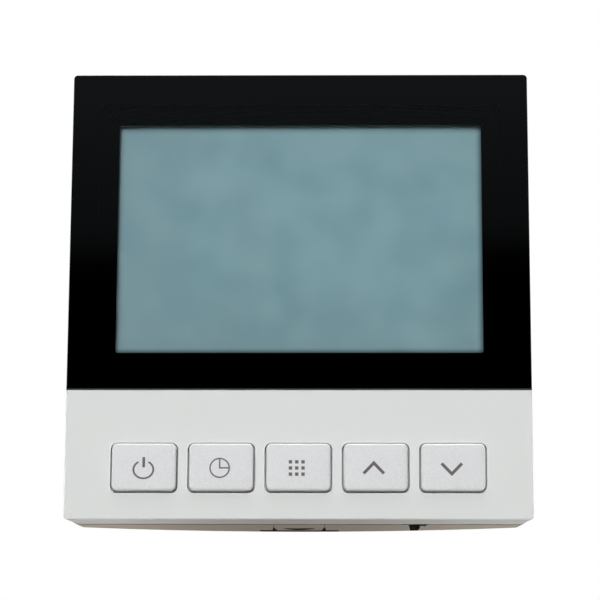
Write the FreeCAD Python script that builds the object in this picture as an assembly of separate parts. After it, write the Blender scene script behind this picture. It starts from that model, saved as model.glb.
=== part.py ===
import FreeCAD, Part
import math
import os

from FreeCAD import Vector

# A wall thermostat for a square 86 mm wall plate. Millimetres. X runs to the viewer's right,
# Y runs into the wall and Z runs up. The origin is on the wall, midway between the two
# slots that the wall screws pass through.

# ---- panel outline -------------------------------------------------------------------------
PANEL_W = 86.0            # width of the face
PANEL_H = 86.0            # height of the face
FACE_CORNER_R = 0.75      # corner of the face's outline
WINDOW_EDGE_R = 0.15      # rounding where the window's face meets its sides
STRIP_EDGE_R = 0.3        # rounding where the white strip's face meets its sides
SPLIT_BEVEL = 0.25        # bevels where the window meets the white strip
REAR_BEVEL = 0.3          # bevel round the rear cover's edge on the wall
SHELL_DEPTH = 7.1         # from the face back to the parting line
SHELL_TAPER = 0.6         # how far each side leans in over that depth
SHELL_WALL = 1.8          # side walls of the front shell
PARTING_CORNER_R = 1.8    # corner of the outline at the parting line
PARTING_GROOVE = 0.5      # shadow gap between front shell and rear cover
REAR_TAPER = 0.6          # further lean of the rear cover, down to the wall
REAR_BOW = 0.8            # swell of the rear cover's top and bottom edges at the wall
REAR_WALL = 1.5           # side walls of the rear cover
REAR_STRIP = 0.3          # strip of its rim left at the wall, behind the tab and the vent

# ---- layers behind the face, front to back -------------------------------------------------
WINDOW_T = 1.8            # clear window
MASK_T = 0.2              # black print behind the window
SEAT_T = 1.2              # shell wall that carries the window
GLASS_T = 1.8             # liquid crystal cell
GUIDE_T = 2.0             # light guide
REFLECTOR_T = 0.2         # white reflector
BOARD_T = 1.6             # both circuit boards
BATTERY_T = 1.6           # coin cell behind the control board
CLIP_T = 0.3              # strap over the coin cell
BACK_CLEARANCE = 0.2      # between that strap and the rear cover's floor
FLOOR_T = 1.2             # floor of the rear cover
FRAME_GAP = 0.2           # between that floor and the steel frame
FRAME_T = 1.2             # steel mounting frame, flat on the wall
DECK_T = 1.8              # shell wall around the buttons

# ---- display -------------------------------------------------------------------------------
DECK_H = 24.4             # height of the white strip below the window
BORDER_SIDE = 8.78        # black print beside the clear area
BORDER_TOP = 9.5          # black print above it
BORDER_BOTTOM = 7.5       # black print below it
OPENING_R = 0.4           # corners of the clear area
GASKET_W = 1.5            # width of the foam frame round the clear area
GASKET_MARGIN = 0.2       # from the print's edge out to the foam
GLASS_MARGIN = 2.0        # glass hidden behind the print on each side
HOLDER_WALL = 0.9
HOLDER_GAP = 0.15         # between the holder and the glass
CONNECTOR_H = 2.4         # rubber contact strip behind the glass's lower edge
CONNECTOR_INSET = 6.15    # from the ends of the glass to the strip
LED_W = 1.4
LED_H = 3.0
LED_T = 1.0
LED_COUNT = 3
PEG_R = 0.9

# ---- buttons -------------------------------------------------------------------------------
BUTTON_NAMES = ("power", "clock", "menu", "up", "down")
BUTTON_SIDE = 14.7        # from the panel's side to the outermost caps' centres
BUTTON_SPACE = 2.35       # between neighbouring caps
BUTTON_H = 8.81
BUTTON_R = 1.0
BUTTON_GAP = 0.32         # all round, between cap and shell
BUTTON_BOTTOM = 9.64      # from the bottom of the panel up to the caps' centres
BUTTON_PROUD = 1.0        # cap above the face
BUTTON_EDGE_R = 0.35
FLANGE_W = 0.8            # rim that keeps the cap in the shell
FLANGE_T = 0.6
FLANGE_GAP = 0.2          # between rim and shell with the cap at rest
POST_LENGTH = 0.4         # stub behind the rim, onto the plunger
PLUNGER_R = 1.7
PLUNGER_OUT = 0.7         # plunger above the switch body
PLUNGER_IN = 0.8          # plunger inside the switch body
BUTTON_TRAVEL = 0.4
SWITCH_W = 6.0
SLIDE_FIT = 0.05          # radial clearance of a plunger in its bore

# ---- screws inside the panel ---------------------------------------------------------------
BOSS_R = 1.9
BOSS_PAST = 0.4           # the shell's bosses end this far behind the parting line
SCREW_R = 0.85
SCREW_HEAD_R = 1.7
SCREW_HEAD_T = 1.2
SCREW_BITE = 4.5          # depth of the hole for the thread
DRIVE_W = 0.45            # arms of the cross in every screw head
THREAD_FIT = 0.05
HOLE_CLEARANCE = 0.2      # round a screw that only passes through
BOARD_BOSS_INSET = 6.6    # from the shell's inner side wall to these bosses
BOARD_BOSS_BELOW_WINDOW = 3.4

# ---- control board and what it carries -----------------------------------------------------
BOARD_CLEARANCE = 1.4     # control board to the shell's side walls
CHIP_W = 10.0
CHIP_T = 1.4
CRYSTAL_R = 1.0
CRYSTAL_LENGTH = 6.0
BATTERY_R = 6.1
CLIP_W = 4.0
PIN_COUNT = 8
PIN_PITCH = 2.54
PIN_W = 0.64
PIN_HOLE_R = 0.55
HEADER_H = 2.5
HEADER_T = 2.3
HEADER_RISE = 3.4         # from the inside of the power housing's floor up to the header
PIN_TIP = 0.6             # pins through the control board
SENSOR_R = 0.9
LEAD_W = 0.4

# ---- rear cover, catch and frame -----------------------------------------------------------
TONGUE_T = 0.8            # lip of the rear cover inside the shell
TONGUE_REACH = 1.6        # how far the lip enters the shell
TONGUE_FIT = 0.1
FRAME_CLEARANCE = 0.3     # round the frame, inside the rear cover
FRAME_CORNER_R = 2.0
SLOT_SPACING = 60.0       # centre distance of the wall-screw slots
SLOT_R = 2.2              # half width of a slot
SLOT_LENGTH = 8.0         # end to end
SCREW_WINDOW_W = 13.0     # window in the floor round a wall screw's head
SCREW_WINDOW_H = 10.0
PRONG_X = 18.0
PRONG_W = 6.0
PRONG_T = 1.2
PRONG_GAP = 0.3
PRONG_BELOW_TOP = 9.0     # from the top of the panel
TAB_W = 9.45
TAB_T = 1.25
TAB_GAP = 0.08            # beside the tab
TAB_END_GAP = 0.15        # between the tab's free end and the strip behind it
TAB_NOTCH_IN = 0.8        # relief notch beside the tab's free end: into the tab
TAB_NOTCH_OUT = 0.3       # and into the rim
TAB_NOTCH_L = 3.6
TAB_RIM_CUT_W = 2.5       # shallow cut in the rim outside each notch
TAB_RIM_CUT_D = 1.2
THUMB_R = 3.4             # thumb recess in the tab
THUMB_D = 0.4
THUMB_RIM = 0.4           # from the tab's free end to that recess
THUMB_L = 1.7
FINGER_W = 5.0            # finger of the tab that reaches through the frame
FINGER_T = 0.8
FINGER_RISE = 4.0
CATCH_DROP = 0.5          # hook at the finger's tip
CATCH_CLEARANCE = 0.1     # under that hook
BRIDGE_W = 13.0           # raised part of the frame round the catch window
BRIDGE_H = 5.5
VENT_X = 21.4            # sensor slot in the rear cover's bottom edge
VENT_W = 2.3
VENT_TAIL_W = 1.0
VENT_TAIL_L = 1.2
RIB_X = 15.0              # ribs that hold the top of the control board
RIB_W = 5.0
RIB_T = 1.2

# ---- power module in the wall box ----------------------------------------------------------
HOUSING_W = 49.0
HOUSING_H = 54.0
HOUSING_DEPTH = 28.0
HOUSING_WALL = 1.6
HOUSING_EDGE_R = 1.2
VENT_COUNT = 6            # cooling slots in each side of the housing
VENT_PITCH = 4.0
VENT_SLOT_W = 1.6
VENT_SLOT_L = 11.0
VENT_SLOT_BACK = 4.5      # from the slots to the housing's back
STEP_H = 14.0             # height of the terminal step
STEP_DEPTH = 7.0          # depth of the housing at that step
FRAME_SCREW_R = 1.4
FRAME_SCREW_LENGTH = 6.0
FRAME_SCREW_INSET = 4.0   # from the housing's sides and ends to the screw
HOUSING_BOSS_R = 2.6
POWER_BOARD_Y = 3.0       # front of the power board behind the wall plane
POWER_BOARD_GAP = 0.3     # round the power board
SOCKET_H = 5.0
SOCKET_OUT = 0.6          # socket in front of the wall plane
PIN_REACH = 2.3           # tips of the header pins behind the wall plane
PIN_SLACK = 0.1           # round a pin in the socket, on each side
PIN_ROOM = 0.3            # beyond a pin's tip
TRANSFORMER = (18.0, 20.0, 15.0)
CORE_H = 12.4             # height of the transformer's core
WINDING_W = 11.5
WINDING_T = 12.8
RELAY = (15.5, 19.5, 15.0)
CAPACITORS = ((5.0, 14.0), (4.0, 11.0))
VARISTOR_R = 5.0
VARISTOR_T = 4.0
FUSE_R = 3.5
FUSE_T = 8.0
PART_GAP = 2.0            # round the transformer and the relay
SMALL_GAP = 1.2           # between the small parts on the power board
LEAD_RISE = 0.6           # varistor above the board
TERMINAL_COUNT = 8
TERMINAL_PITCH = 5.08
TERMINAL_H = 12.8
TERMINAL_DEPTH = 12.0
GROOVE_W = 0.5            # grooves between neighbouring terminals
GROOVE_D = 0.4
WIRE_W = 3.4              # wire entry, square
CAGE_WALL = 0.6
CAGE_GAP = 0.1
CAGE_L = 5.2
CAGE_T = 5.6
CLAMP_SCREW_R = 1.25
CLAMP_HEAD_R = 1.9
CLAMP_HEAD_T = 2.0
TERMINAL_PIN_R = 0.5

# ---- planes and lines worked out from the sizes above --------------------------------------
HALF_W = PANEL_W / 2
HALF_H = PANEL_H / 2
FRAME_FRONT = -FRAME_T
FLOOR_BACK = FRAME_FRONT - FRAME_GAP
FLOOR_FRONT = FLOOR_BACK - FLOOR_T
BOARD_BACK = FLOOR_FRONT - BACK_CLEARANCE - CLIP_T - BATTERY_T
BOARD_FRONT = BOARD_BACK - BOARD_T
REFLECTOR_FRONT = BOARD_FRONT - REFLECTOR_T
GUIDE_FRONT = REFLECTOR_FRONT - GUIDE_T
GLASS_FRONT = GUIDE_FRONT - GLASS_T
SEAT_FRONT = GLASS_FRONT - SEAT_T
MASK_FRONT = SEAT_FRONT - MASK_T
FACE = MASK_FRONT - WINDOW_T
DECK_BACK = FACE + DECK_T
PARTING = FACE + SHELL_DEPTH
WINDOW_BOTTOM = DECK_H - HALF_H
OPENING_W = PANEL_W - 2 * BORDER_SIDE
OPENING_H = PANEL_H - DECK_H - BORDER_TOP - BORDER_BOTTOM
OPENING_Z = HALF_H - BORDER_TOP - OPENING_H / 2
SHELL_IN_W = HALF_W - SHELL_TAPER - SHELL_WALL
SHELL_IN_H = HALF_H - SHELL_TAPER - SHELL_WALL
REAR_IN_W = HALF_W - SHELL_TAPER - REAR_TAPER - REAR_WALL
REAR_IN_H = HALF_H - SHELL_TAPER - REAR_TAPER - REAR_WALL
BOARD_HALF_W = SHELL_IN_W - BOARD_CLEARANCE
BOARD_HALF_H = SHELL_IN_H - BOARD_CLEARANCE
FRAME_HALF_W = REAR_IN_W - FRAME_CLEARANCE
FRAME_HALF_H = REAR_IN_H - FRAME_CLEARANCE
GLASS_HALF_W = OPENING_W / 2 + GLASS_MARGIN
GLASS_HALF_H = OPENING_H / 2 + GLASS_MARGIN
BUTTON_PITCH = (PANEL_W - 2 * BUTTON_SIDE) / (len(BUTTON_NAMES) - 1)
BUTTON_W = BUTTON_PITCH - BUTTON_SPACE
BUTTON_Z = BUTTON_BOTTOM - HALF_H
FLANGE_FRONT = DECK_BACK + FLANGE_GAP
FLANGE_BACK = FLANGE_FRONT + FLANGE_T
PLUNGER_TIP = FLANGE_BACK + POST_LENGTH
SWITCH_FRONT = PLUNGER_TIP + PLUNGER_OUT
COVER_SCREW_X = SHELL_IN_W - BOSS_R - HOLE_CLEARANCE
COVER_SCREW_Z = SHELL_IN_H - BOSS_R - HOLE_CLEARANCE
BOSS_END = PARTING + BOSS_PAST
BOARD_BOSS_X = SHELL_IN_W - BOARD_BOSS_INSET
BOARD_BOSS_Z = WINDOW_BOTTOM - BOARD_BOSS_BELOW_WINDOW
HOUSING_IN_W = HOUSING_W / 2 - HOUSING_WALL
HOUSING_IN_H = HOUSING_H / 2 - HOUSING_WALL
HEADER_Z = HEADER_RISE - HOUSING_IN_H
STEP_Z = STEP_H - HOUSING_H / 2
FRAME_SCREW_X = HOUSING_W / 2 - FRAME_SCREW_INSET
FRAME_SCREW_Z = HOUSING_H / 2 - FRAME_SCREW_INSET
POWER_BOARD_BACK = POWER_BOARD_Y + BOARD_T
TAB_BOTTOM = -(HALF_H - SHELL_TAPER)
TAB_TOP = TAB_BOTTOM + TAB_T
TAB_FRONT = PARTING + PARTING_GROOVE
TAB_END = -REAR_STRIP - TAB_END_GAP
FINGER_TOP = TAB_TOP + FINGER_RISE
BRIDGE_FRONT = FRAME_FRONT - FRAME_T
CATCH_BOTTOM = FINGER_TOP - FINGER_T - CATCH_DROP
BUTTON_XS = [(i - (len(BUTTON_NAMES) - 1) / 2) * BUTTON_PITCH for i in range(len(BUTTON_NAMES))]
TERMINAL_XS = [(i - (TERMINAL_COUNT - 1) / 2) * TERMINAL_PITCH for i in range(TERMINAL_COUNT)]
PIN_XS = [(i - (PIN_COUNT - 1) / 2) * PIN_PITCH for i in range(PIN_COUNT)]


# ---- small helpers -------------------------------------------------------------------------
def box(x0, x1, y0, y1, z0, z1):
    return Part.makeBox(x1 - x0, y1 - y0, z1 - z0, Vector(x0, y0, z0))


def block(x, z, width, height, y0, y1):
    """A block centred on (x, z) in the plan of the wall, between two depths."""
    return box(x - width / 2, x + width / 2, y0, y1, z - height / 2, z + height / 2)


def rod(x, z, radius, y0, y1):
    """A round bar square to the wall."""
    return Part.makeCylinder(radius, y1 - y0, Vector(x, y0, z), Vector(0, 1, 0))


def corners(x, z):
    return [(sx * x, sz * z) for sx in (-1, 1) for sz in (-1, 1)]


def outline(half_w, half_h, radius, y, z=0.0, bow=0.0):
    """A rounded rectangle in the plane y; bow swells its top and bottom edges."""
    x_in = half_w - radius
    z_in = half_h - radius
    inset = radius * (1 - math.sqrt(0.5))

    def at(px, pz):
        return Vector(px, y, z + pz)

    edges = []
    for s in (1, -1):
        start = at(-s * x_in, s * half_h)
        end = at(s * x_in, s * half_h)
        if bow:
            edges.append(Part.Arc(start, at(0, s * (half_h + bow)), end).toShape())
        else:
            edges.append(Part.LineSegment(start, end).toShape())
        side_top = at(s * half_w, s * z_in)
        side_end = at(s * half_w, -s * z_in)
        upper_mid = at(s * (half_w - inset), s * (half_h - inset))
        lower_mid = at(s * (half_w - inset), -s * (half_h - inset))
        edges.append(Part.Arc(end, upper_mid, side_top).toShape())
        edges.append(Part.LineSegment(side_top, side_end).toShape())
        edges.append(Part.Arc(side_end, lower_mid, at(s * x_in, -s * half_h)).toShape())
    return Part.Wire(edges)


def slab(half_w, half_h, radius, y0, y1, x=0.0, z=0.0):
    """A rounded rectangular slab between two depths."""
    solid = Part.Face(outline(half_w, half_h, radius, y0, z)).extrude(Vector(0, y1 - y0, 0))
    return solid.translated(Vector(x, 0, 0))


def cut(solid, tools):
    for tool in tools:
        solid = solid.cut(tool)
    return solid


def join(solid, others):
    for other in others:
        solid = solid.fuse(other)
    return solid.removeSplitter()


def edges_at(solid, y):
    """The edges of a solid that lie wholly in the plane y."""
    return [e for e in solid.Edges if abs(e.BoundBox.YMin - y) < 1e-4 and abs(e.BoundBox.YMax - y) < 1e-4]


def screw(x, z, y_head, length, radius, head_r, head_t):
    """A pan-head screw from behind: its head sits at y_head and its thread points forward."""
    body = rod(x, z, head_r, y_head, y_head + head_t).fuse(rod(x, z, radius, y_head - length, y_head))
    slot = block(x, z, 2 * radius, DRIVE_W, y_head + head_t / 2, y_head + head_t)
    cross = block(x, z, DRIVE_W, 2 * radius, y_head + head_t / 2, y_head + head_t)
    return cut(body, [slot, cross])


def save(name, shape):
    solids = shape if isinstance(shape, list) else [shape]
    out = Part.makeCompound(solids) if len(solids) > 1 else solids[0]
    out.exportStep(os.path.join("parts", name + ".step"))


# ---- front of the panel --------------------------------------------------------------------
def panel_block(edge_r):
    """The front block of the panel, with its sides leaning in and its face edge rounded."""
    face = outline(HALF_W, HALF_H, FACE_CORNER_R, FACE)
    parting = outline(HALF_W - SHELL_TAPER, HALF_H - SHELL_TAPER, PARTING_CORNER_R, PARTING)
    solid = Part.makeLoft([face, parting], True, True)
    return solid.makeFillet(edge_r, edges_at(solid, FACE))


def window_zone(y0, y1):
    return box(-PANEL_W, PANEL_W, y0, y1, WINDOW_BOTTOM, PANEL_H)


def split_bevel():
    """A small V groove where the window meets the white strip."""
    points = [(FACE - 1, SPLIT_BEVEL + 1), (FACE - 1, -SPLIT_BEVEL - 1), (FACE + SPLIT_BEVEL, 0)]
    loop = [Vector(-PANEL_W, y, WINDOW_BOTTOM + z) for y, z in points + points[:1]]
    return Part.Face(Part.makePolygon(loop)).extrude(Vector(2 * PANEL_W, 0, 0))


def opening_cut(margin, y0, y1):
    """The display's clear area, widened by a margin."""
    return slab(OPENING_W / 2 + margin, OPENING_H / 2 + margin, OPENING_R, y0, y1, z=OPENING_Z)


def display_window():
    return panel_block(WINDOW_EDGE_R).common(window_zone(FACE - 1, MASK_FRONT)).cut(split_bevel())


def window_mask():
    return panel_block(WINDOW_EDGE_R).common(window_zone(MASK_FRONT, SEAT_FRONT)).cut(
        opening_cut(0, MASK_FRONT - 1, SEAT_FRONT + 1))


def front_shell():
    solid = panel_block(STRIP_EDGE_R)
    gasket_out = GASKET_MARGIN + GASKET_W + TONGUE_FIT
    deck_room_top = WINDOW_BOTTOM - SHELL_WALL
    solid = cut(solid, [
        window_zone(FACE - 1, SEAT_FRONT),
        split_bevel(),
        opening_cut(gasket_out, SEAT_FRONT - 1, GLASS_FRONT + 1),
        slab(SHELL_IN_W, SHELL_IN_H, FRAME_CORNER_R, GLASS_FRONT, PARTING + 1),
        box(-SHELL_IN_W, SHELL_IN_W, DECK_BACK, GLASS_FRONT + 1, -SHELL_IN_H, deck_room_top)])
    cap_w = BUTTON_W / 2 + BUTTON_GAP
    cap_h = BUTTON_H / 2 + BUTTON_GAP
    openings = [slab(cap_w, cap_h, BUTTON_R + BUTTON_GAP, FACE - 1, DECK_BACK + 1, x, BUTTON_Z)
                for x in BUTTON_XS]
    solid = cut(solid, openings)
    bosses = []
    holes = []
    for x, z in corners(COVER_SCREW_X, COVER_SCREW_Z):
        root = (GLASS_FRONT if z > 0 else DECK_BACK) - THREAD_FIT
        bosses.append(rod(x, z, BOSS_R, root, BOSS_END))
        gusset_end = PARTING - TONGUE_REACH - TONGUE_FIT
        bosses.append(block(x + math.copysign(BOSS_R, x), z, 2 * BOSS_R, BOSS_R, root, gusset_end))
        holes.append(rod(x, z, SCREW_R + THREAD_FIT, BOSS_END - SCREW_BITE, BOSS_END + 1))
    for x in (-BOARD_BOSS_X, BOARD_BOSS_X):
        bosses.append(rod(x, BOARD_BOSS_Z, BOSS_R, DECK_BACK - THREAD_FIT, BOARD_FRONT))
        holes.append(rod(x, BOARD_BOSS_Z, SCREW_R + THREAD_FIT, BOARD_FRONT - SCREW_BITE, BOARD_FRONT + 1))
    room = slab(SHELL_IN_W + THREAD_FIT, SHELL_IN_H + THREAD_FIT, FRAME_CORNER_R, FACE, BOSS_END)
    bosses = [boss.common(room) for boss in bosses]
    return cut(join(solid, bosses), holes)


# ---- display -------------------------------------------------------------------------------
def lcd_gasket():
    outer = opening_cut(GASKET_MARGIN + GASKET_W, SEAT_FRONT, GLASS_FRONT)
    return outer.cut(opening_cut(GASKET_MARGIN, SEAT_FRONT - 1, GLASS_FRONT + 1))


def lcd_glass():
    return block(0, OPENING_Z, 2 * GLASS_HALF_W, 2 * GLASS_HALF_H, GLASS_FRONT, GUIDE_FRONT)


def backlight_guide():
    """The guide stands clear of the contact strip below it and of the lamps at its left."""
    left = -GLASS_HALF_W + LED_W + HOLDER_GAP
    bottom = OPENING_Z - GLASS_HALF_H + CONNECTOR_H + 2 * HOLDER_GAP
    return box(left, GLASS_HALF_W, GUIDE_FRONT, REFLECTOR_FRONT, bottom, OPENING_Z + GLASS_HALF_H)


def reflector():
    left = -GLASS_HALF_W + LED_W + HOLDER_GAP
    bottom = OPENING_Z - GLASS_HALF_H + CONNECTOR_H + 2 * HOLDER_GAP
    return box(left, GLASS_HALF_W, REFLECTOR_FRONT, BOARD_FRONT, bottom, OPENING_Z + GLASS_HALF_H)


def lcd_connector():
    bottom = OPENING_Z - GLASS_HALF_H + HOLDER_GAP
    half_w = GLASS_HALF_W - CONNECTOR_INSET
    return box(-half_w, half_w, GUIDE_FRONT, BOARD_FRONT, bottom, bottom + CONNECTOR_H)


def backlight_leds():
    pitch = OPENING_H / LED_COUNT
    zs = [OPENING_Z + (i - (LED_COUNT - 1) / 2) * pitch for i in range(LED_COUNT)]
    x = -GLASS_HALF_W + LED_W / 2
    return [block(x, z, LED_W, LED_H, BOARD_FRONT - LED_T, BOARD_FRONT) for z in zs]


def peg_places():
    x = GLASS_HALF_W - PEG_R
    bottom = OPENING_Z - GLASS_HALF_H - HOLDER_GAP - HOLDER_WALL / 2
    top = OPENING_Z + GLASS_HALF_H + HOLDER_GAP + HOLDER_WALL / 2
    return [(sx * x, z) for sx in (-1, 1) for z in (bottom, top)]


def lcd_holder():
    """A frame round the glass and the guide, pegged into the control board."""
    half_w = GLASS_HALF_W + HOLDER_GAP
    half_h = GLASS_HALF_H + HOLDER_GAP
    front = GLASS_FRONT + HOLDER_GAP
    outer = block(0, OPENING_Z, 2 * (half_w + HOLDER_WALL), 2 * (half_h + HOLDER_WALL), front, BOARD_FRONT)
    ring = outer.cut(block(0, OPENING_Z, 2 * half_w, 2 * half_h, front - 1, BOARD_FRONT + 1))
    pegs = [rod(x, z, PEG_R, BOARD_FRONT - HOLDER_GAP, BOARD_BACK)
            for x, z in peg_places()]
    inside = block(0, OPENING_Z, 2 * half_w, 2 * half_h, front - 1, BOARD_FRONT)
    return join(ring, [peg.cut(inside) for peg in pegs])


# ---- buttons -------------------------------------------------------------------------------
def button_cap(x):
    """A cap with a rim behind the shell and a stub on the switch's plunger."""
    cap = slab(BUTTON_W / 2, BUTTON_H / 2, BUTTON_R, FACE - BUTTON_PROUD, FLANGE_FRONT, x, BUTTON_Z)
    cap = cap.makeFillet(BUTTON_EDGE_R, edges_at(cap, FACE - BUTTON_PROUD))
    rim = slab(BUTTON_W / 2 + FLANGE_W, BUTTON_H / 2 + FLANGE_W, BUTTON_R, FLANGE_FRONT, FLANGE_BACK,
               x, BUTTON_Z)
    stub = rod(x, BUTTON_Z, PLUNGER_R, FLANGE_BACK, PLUNGER_TIP)
    return join(cap, [rim, stub])


def plunger(x):
    return rod(x, BUTTON_Z, PLUNGER_R, PLUNGER_TIP, SWITCH_FRONT + PLUNGER_IN)


def switch_body(x):
    body = block(x, BUTTON_Z, SWITCH_W, SWITCH_W, SWITCH_FRONT, BOARD_FRONT)
    bore_end = SWITCH_FRONT + PLUNGER_IN + BUTTON_TRAVEL + FLANGE_GAP
    return body.cut(rod(x, BUTTON_Z, PLUNGER_R + SLIDE_FIT, SWITCH_FRONT - 1, bore_end))


# ---- control board -------------------------------------------------------------------------
def control_board():
    board = box(-BOARD_HALF_W, BOARD_HALF_W, BOARD_FRONT, BOARD_BACK, -BOARD_HALF_H, BOARD_HALF_H)
    tools = []
    for x, z in corners(COVER_SCREW_X, COVER_SCREW_Z):
        tools.append(rod(x, z, BOSS_R + FRAME_CLEARANCE, BOARD_FRONT - 1, BOARD_BACK + 1))
    for x in (-BOARD_BOSS_X, BOARD_BOSS_X):
        tools.append(rod(x, BOARD_BOSS_Z, SCREW_R + HOLE_CLEARANCE, BOARD_FRONT - 1, BOARD_BACK + 1))
    for x, z in peg_places():
        tools.append(rod(x, z, PEG_R + SLIDE_FIT, BOARD_FRONT - 1, BOARD_BACK + 1))
    for x in PIN_XS:
        tools.append(rod(x, HEADER_Z, PIN_HOLE_R, BOARD_FRONT - 1, BOARD_BACK + 1))
    return cut(board, tools)


def board_screws():
    length = BOARD_T + SCREW_BITE - FRAME_CLEARANCE
    return [screw(x, BOARD_BOSS_Z, BOARD_BACK, length, SCREW_R, SCREW_HEAD_R, SCREW_HEAD_T)
            for x in (-BOARD_BOSS_X, BOARD_BOSS_X)]


def microcontroller():
    return block(0, OPENING_Z, CHIP_W, CHIP_W, BOARD_BACK, BOARD_BACK + CHIP_T)


def clock_crystal():
    start = Vector(CHIP_W / 2 + CRYSTAL_R, BOARD_BACK + CRYSTAL_R, OPENING_Z)
    return Part.makeCylinder(CRYSTAL_R, CRYSTAL_LENGTH, start, Vector(1, 0, 0))


def battery_place():
    return -(CHIP_W / 2 + 2 * BATTERY_R), OPENING_Z + BATTERY_R


def backup_battery():
    x, z = battery_place()
    return rod(x, z, BATTERY_R, BOARD_BACK, BOARD_BACK + BATTERY_T)


def battery_clip():
    """A sprung strap over the coin cell, with a foot on the board at each end."""
    x, z = battery_place()
    half = BATTERY_R + SLIDE_FIT + CLIP_T
    strap = block(x, z, 2 * half, CLIP_W, BOARD_BACK + BATTERY_T, BOARD_BACK + BATTERY_T + CLIP_T)
    feet = [block(x + s * (half - CLIP_T / 2), z, CLIP_T, CLIP_W, BOARD_BACK, BOARD_BACK + BATTERY_T)
            for s in (-1, 1)]
    return join(strap, feet)


def pin_header():
    body = block(0, HEADER_Z, PIN_COUNT * PIN_PITCH, HEADER_H, BOARD_BACK, BOARD_BACK + HEADER_T)
    return cut(body, [block(x, HEADER_Z, PIN_W, PIN_W, BOARD_BACK - 1, FRAME_T) for x in PIN_XS])


def header_pins():
    return [block(x, HEADER_Z, PIN_W, PIN_W, BOARD_FRONT - PIN_TIP, PIN_REACH) for x in PIN_XS]


def room_sensor():
    """A bead behind the vent slot, on two bent leads from the control board."""
    y = (BOARD_BACK + FLOOR_FRONT) / 2
    bottom = -BOARD_HALF_H
    bead = Part.makeSphere(SENSOR_R, Vector(VENT_X, y, bottom + LEAD_W))
    leads = []
    for side in (-1, 1):
        x = VENT_X + side * SENSOR_R / 2
        top = bottom + 4 * SENSOR_R
        leads.append(box(x - LEAD_W / 2, x + LEAD_W / 2, y - LEAD_W / 2, y + LEAD_W / 2, bottom, top))
        leads.append(box(x - LEAD_W / 2, x + LEAD_W / 2, BOARD_BACK, y + LEAD_W / 2, top - LEAD_W, top))
    return join(bead, leads)


# ---- rear cover and its catch --------------------------------------------------------------
def rear_block():
    """The outside of the rear cover, from behind the shadow gap to the wall."""
    front = outline(HALF_W - SHELL_TAPER, HALF_H - SHELL_TAPER, PARTING_CORNER_R,
                    PARTING + PARTING_GROOVE)
    half_w = HALF_W - SHELL_TAPER - REAR_TAPER
    half_h = HALF_H - SHELL_TAPER - REAR_TAPER
    rim = outline(half_w, half_h, PARTING_CORNER_R, -REAR_BEVEL, bow=REAR_BOW)
    back = outline(half_w - REAR_BEVEL, half_h - REAR_BEVEL, PARTING_CORNER_R, 0, bow=REAR_BOW)
    return Part.makeLoft([front, rim, back], True, True)


def tongue():
    """The lip that enters the front shell."""
    half_w = SHELL_IN_W - TONGUE_FIT
    half_h = SHELL_IN_H - TONGUE_FIT
    front = PARTING - TONGUE_REACH
    back = PARTING + PARTING_GROOVE + REAR_WALL
    outer = slab(half_w, half_h, FRAME_CORNER_R, front, back)
    return outer.cut(slab(half_w - TONGUE_T, half_h - TONGUE_T, FRAME_CORNER_R, front - 1, back + 1))


def vent_slot():
    """A tapering slot in the bottom edge, with a shallow tail beside it at the parting line."""
    front = PARTING
    back = -REAR_STRIP
    points = [(VENT_X - VENT_W / 2, front), (VENT_X + VENT_W / 2, front),
              (VENT_X + VENT_W / 3, back), (VENT_X - VENT_W / 3, back)]
    loop = [Vector(x, y, -HALF_H) for x, y in points + points[:1]]
    slot = Part.Face(Part.makePolygon(loop)).extrude(Vector(0, 0, HALF_H - REAR_IN_H + TONGUE_T))
    x0 = VENT_X + VENT_W / 3
    tail_top = -HALF_H + SHELL_TAPER + TONGUE_T
    tail_back = front + PARTING_GROOVE + VENT_TAIL_L
    tail = box(x0, x0 + VENT_TAIL_W + VENT_W / 6, front, tail_back, -HALF_H, tail_top)
    return slot.fuse(tail)


def rear_cover():
    solid = rear_block().fuse(tongue())
    inner = slab(REAR_IN_W, REAR_IN_H, FRAME_CORNER_R, PARTING, FLOOR_FRONT)
    behind = slab(REAR_IN_W, REAR_IN_H, FRAME_CORNER_R, FLOOR_BACK, 1)
    solid = cut(solid, [inner, behind])
    added = []
    holes = []
    for x, z in corners(COVER_SCREW_X, COVER_SCREW_Z):
        post = rod(x, z, BOSS_R, BOSS_END, FLOOR_FRONT + FLOOR_T / 2)
        added.append(post)
        seat = FLOOR_BACK - SCREW_HEAD_T
        holes.append(rod(x, z, SCREW_R + HOLE_CLEARANCE, BOSS_END - 1, FLOOR_BACK + 1))
        holes.append(rod(x, z, SCREW_HEAD_R + TONGUE_FIT, seat, FLOOR_BACK + 1))
        holes.append(rod(x, z, BOSS_R + TONGUE_FIT, PARTING - TONGUE_REACH - 1, BOSS_END))
    for x in (-RIB_X, RIB_X):
        z = BOARD_HALF_H - RIB_T
        added.append(block(x, z, RIB_W, RIB_T, BOARD_BACK, FLOOR_FRONT + FLOOR_T / 2))
    for x in (-PRONG_X, PRONG_X):
        z = HALF_H - PRONG_BELOW_TOP
        added.append(block(x, z, PRONG_W, PRONG_T, FLOOR_BACK - FLOOR_T / 2, -PRONG_GAP))
    for side in (-1, 1):
        holes.append(block(side * SLOT_SPACING / 2, 0, SCREW_WINDOW_W, SCREW_WINDOW_H,
                           FLOOR_FRONT - 1, FLOOR_BACK + 1))
    holes.append(block(0, HEADER_Z, PIN_COUNT * PIN_PITCH + 2 * FRAME_CLEARANCE,
                       HEADER_H + 2 * FRAME_CLEARANCE, FLOOR_FRONT - 1, FLOOR_BACK + 1))
    bridge_half = BRIDGE_W / 2 + FRAME_CLEARANCE
    bridge_top = BRIDGE_H - FRAME_HALF_H + FRAME_CLEARANCE
    holes.append(box(-bridge_half, bridge_half, FLOOR_FRONT - 1, FLOOR_BACK + 1, -REAR_IN_H, bridge_top))
    holes.append(vent_slot())
    return cut(join(solid, added), holes + tab_cuts())


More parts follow.
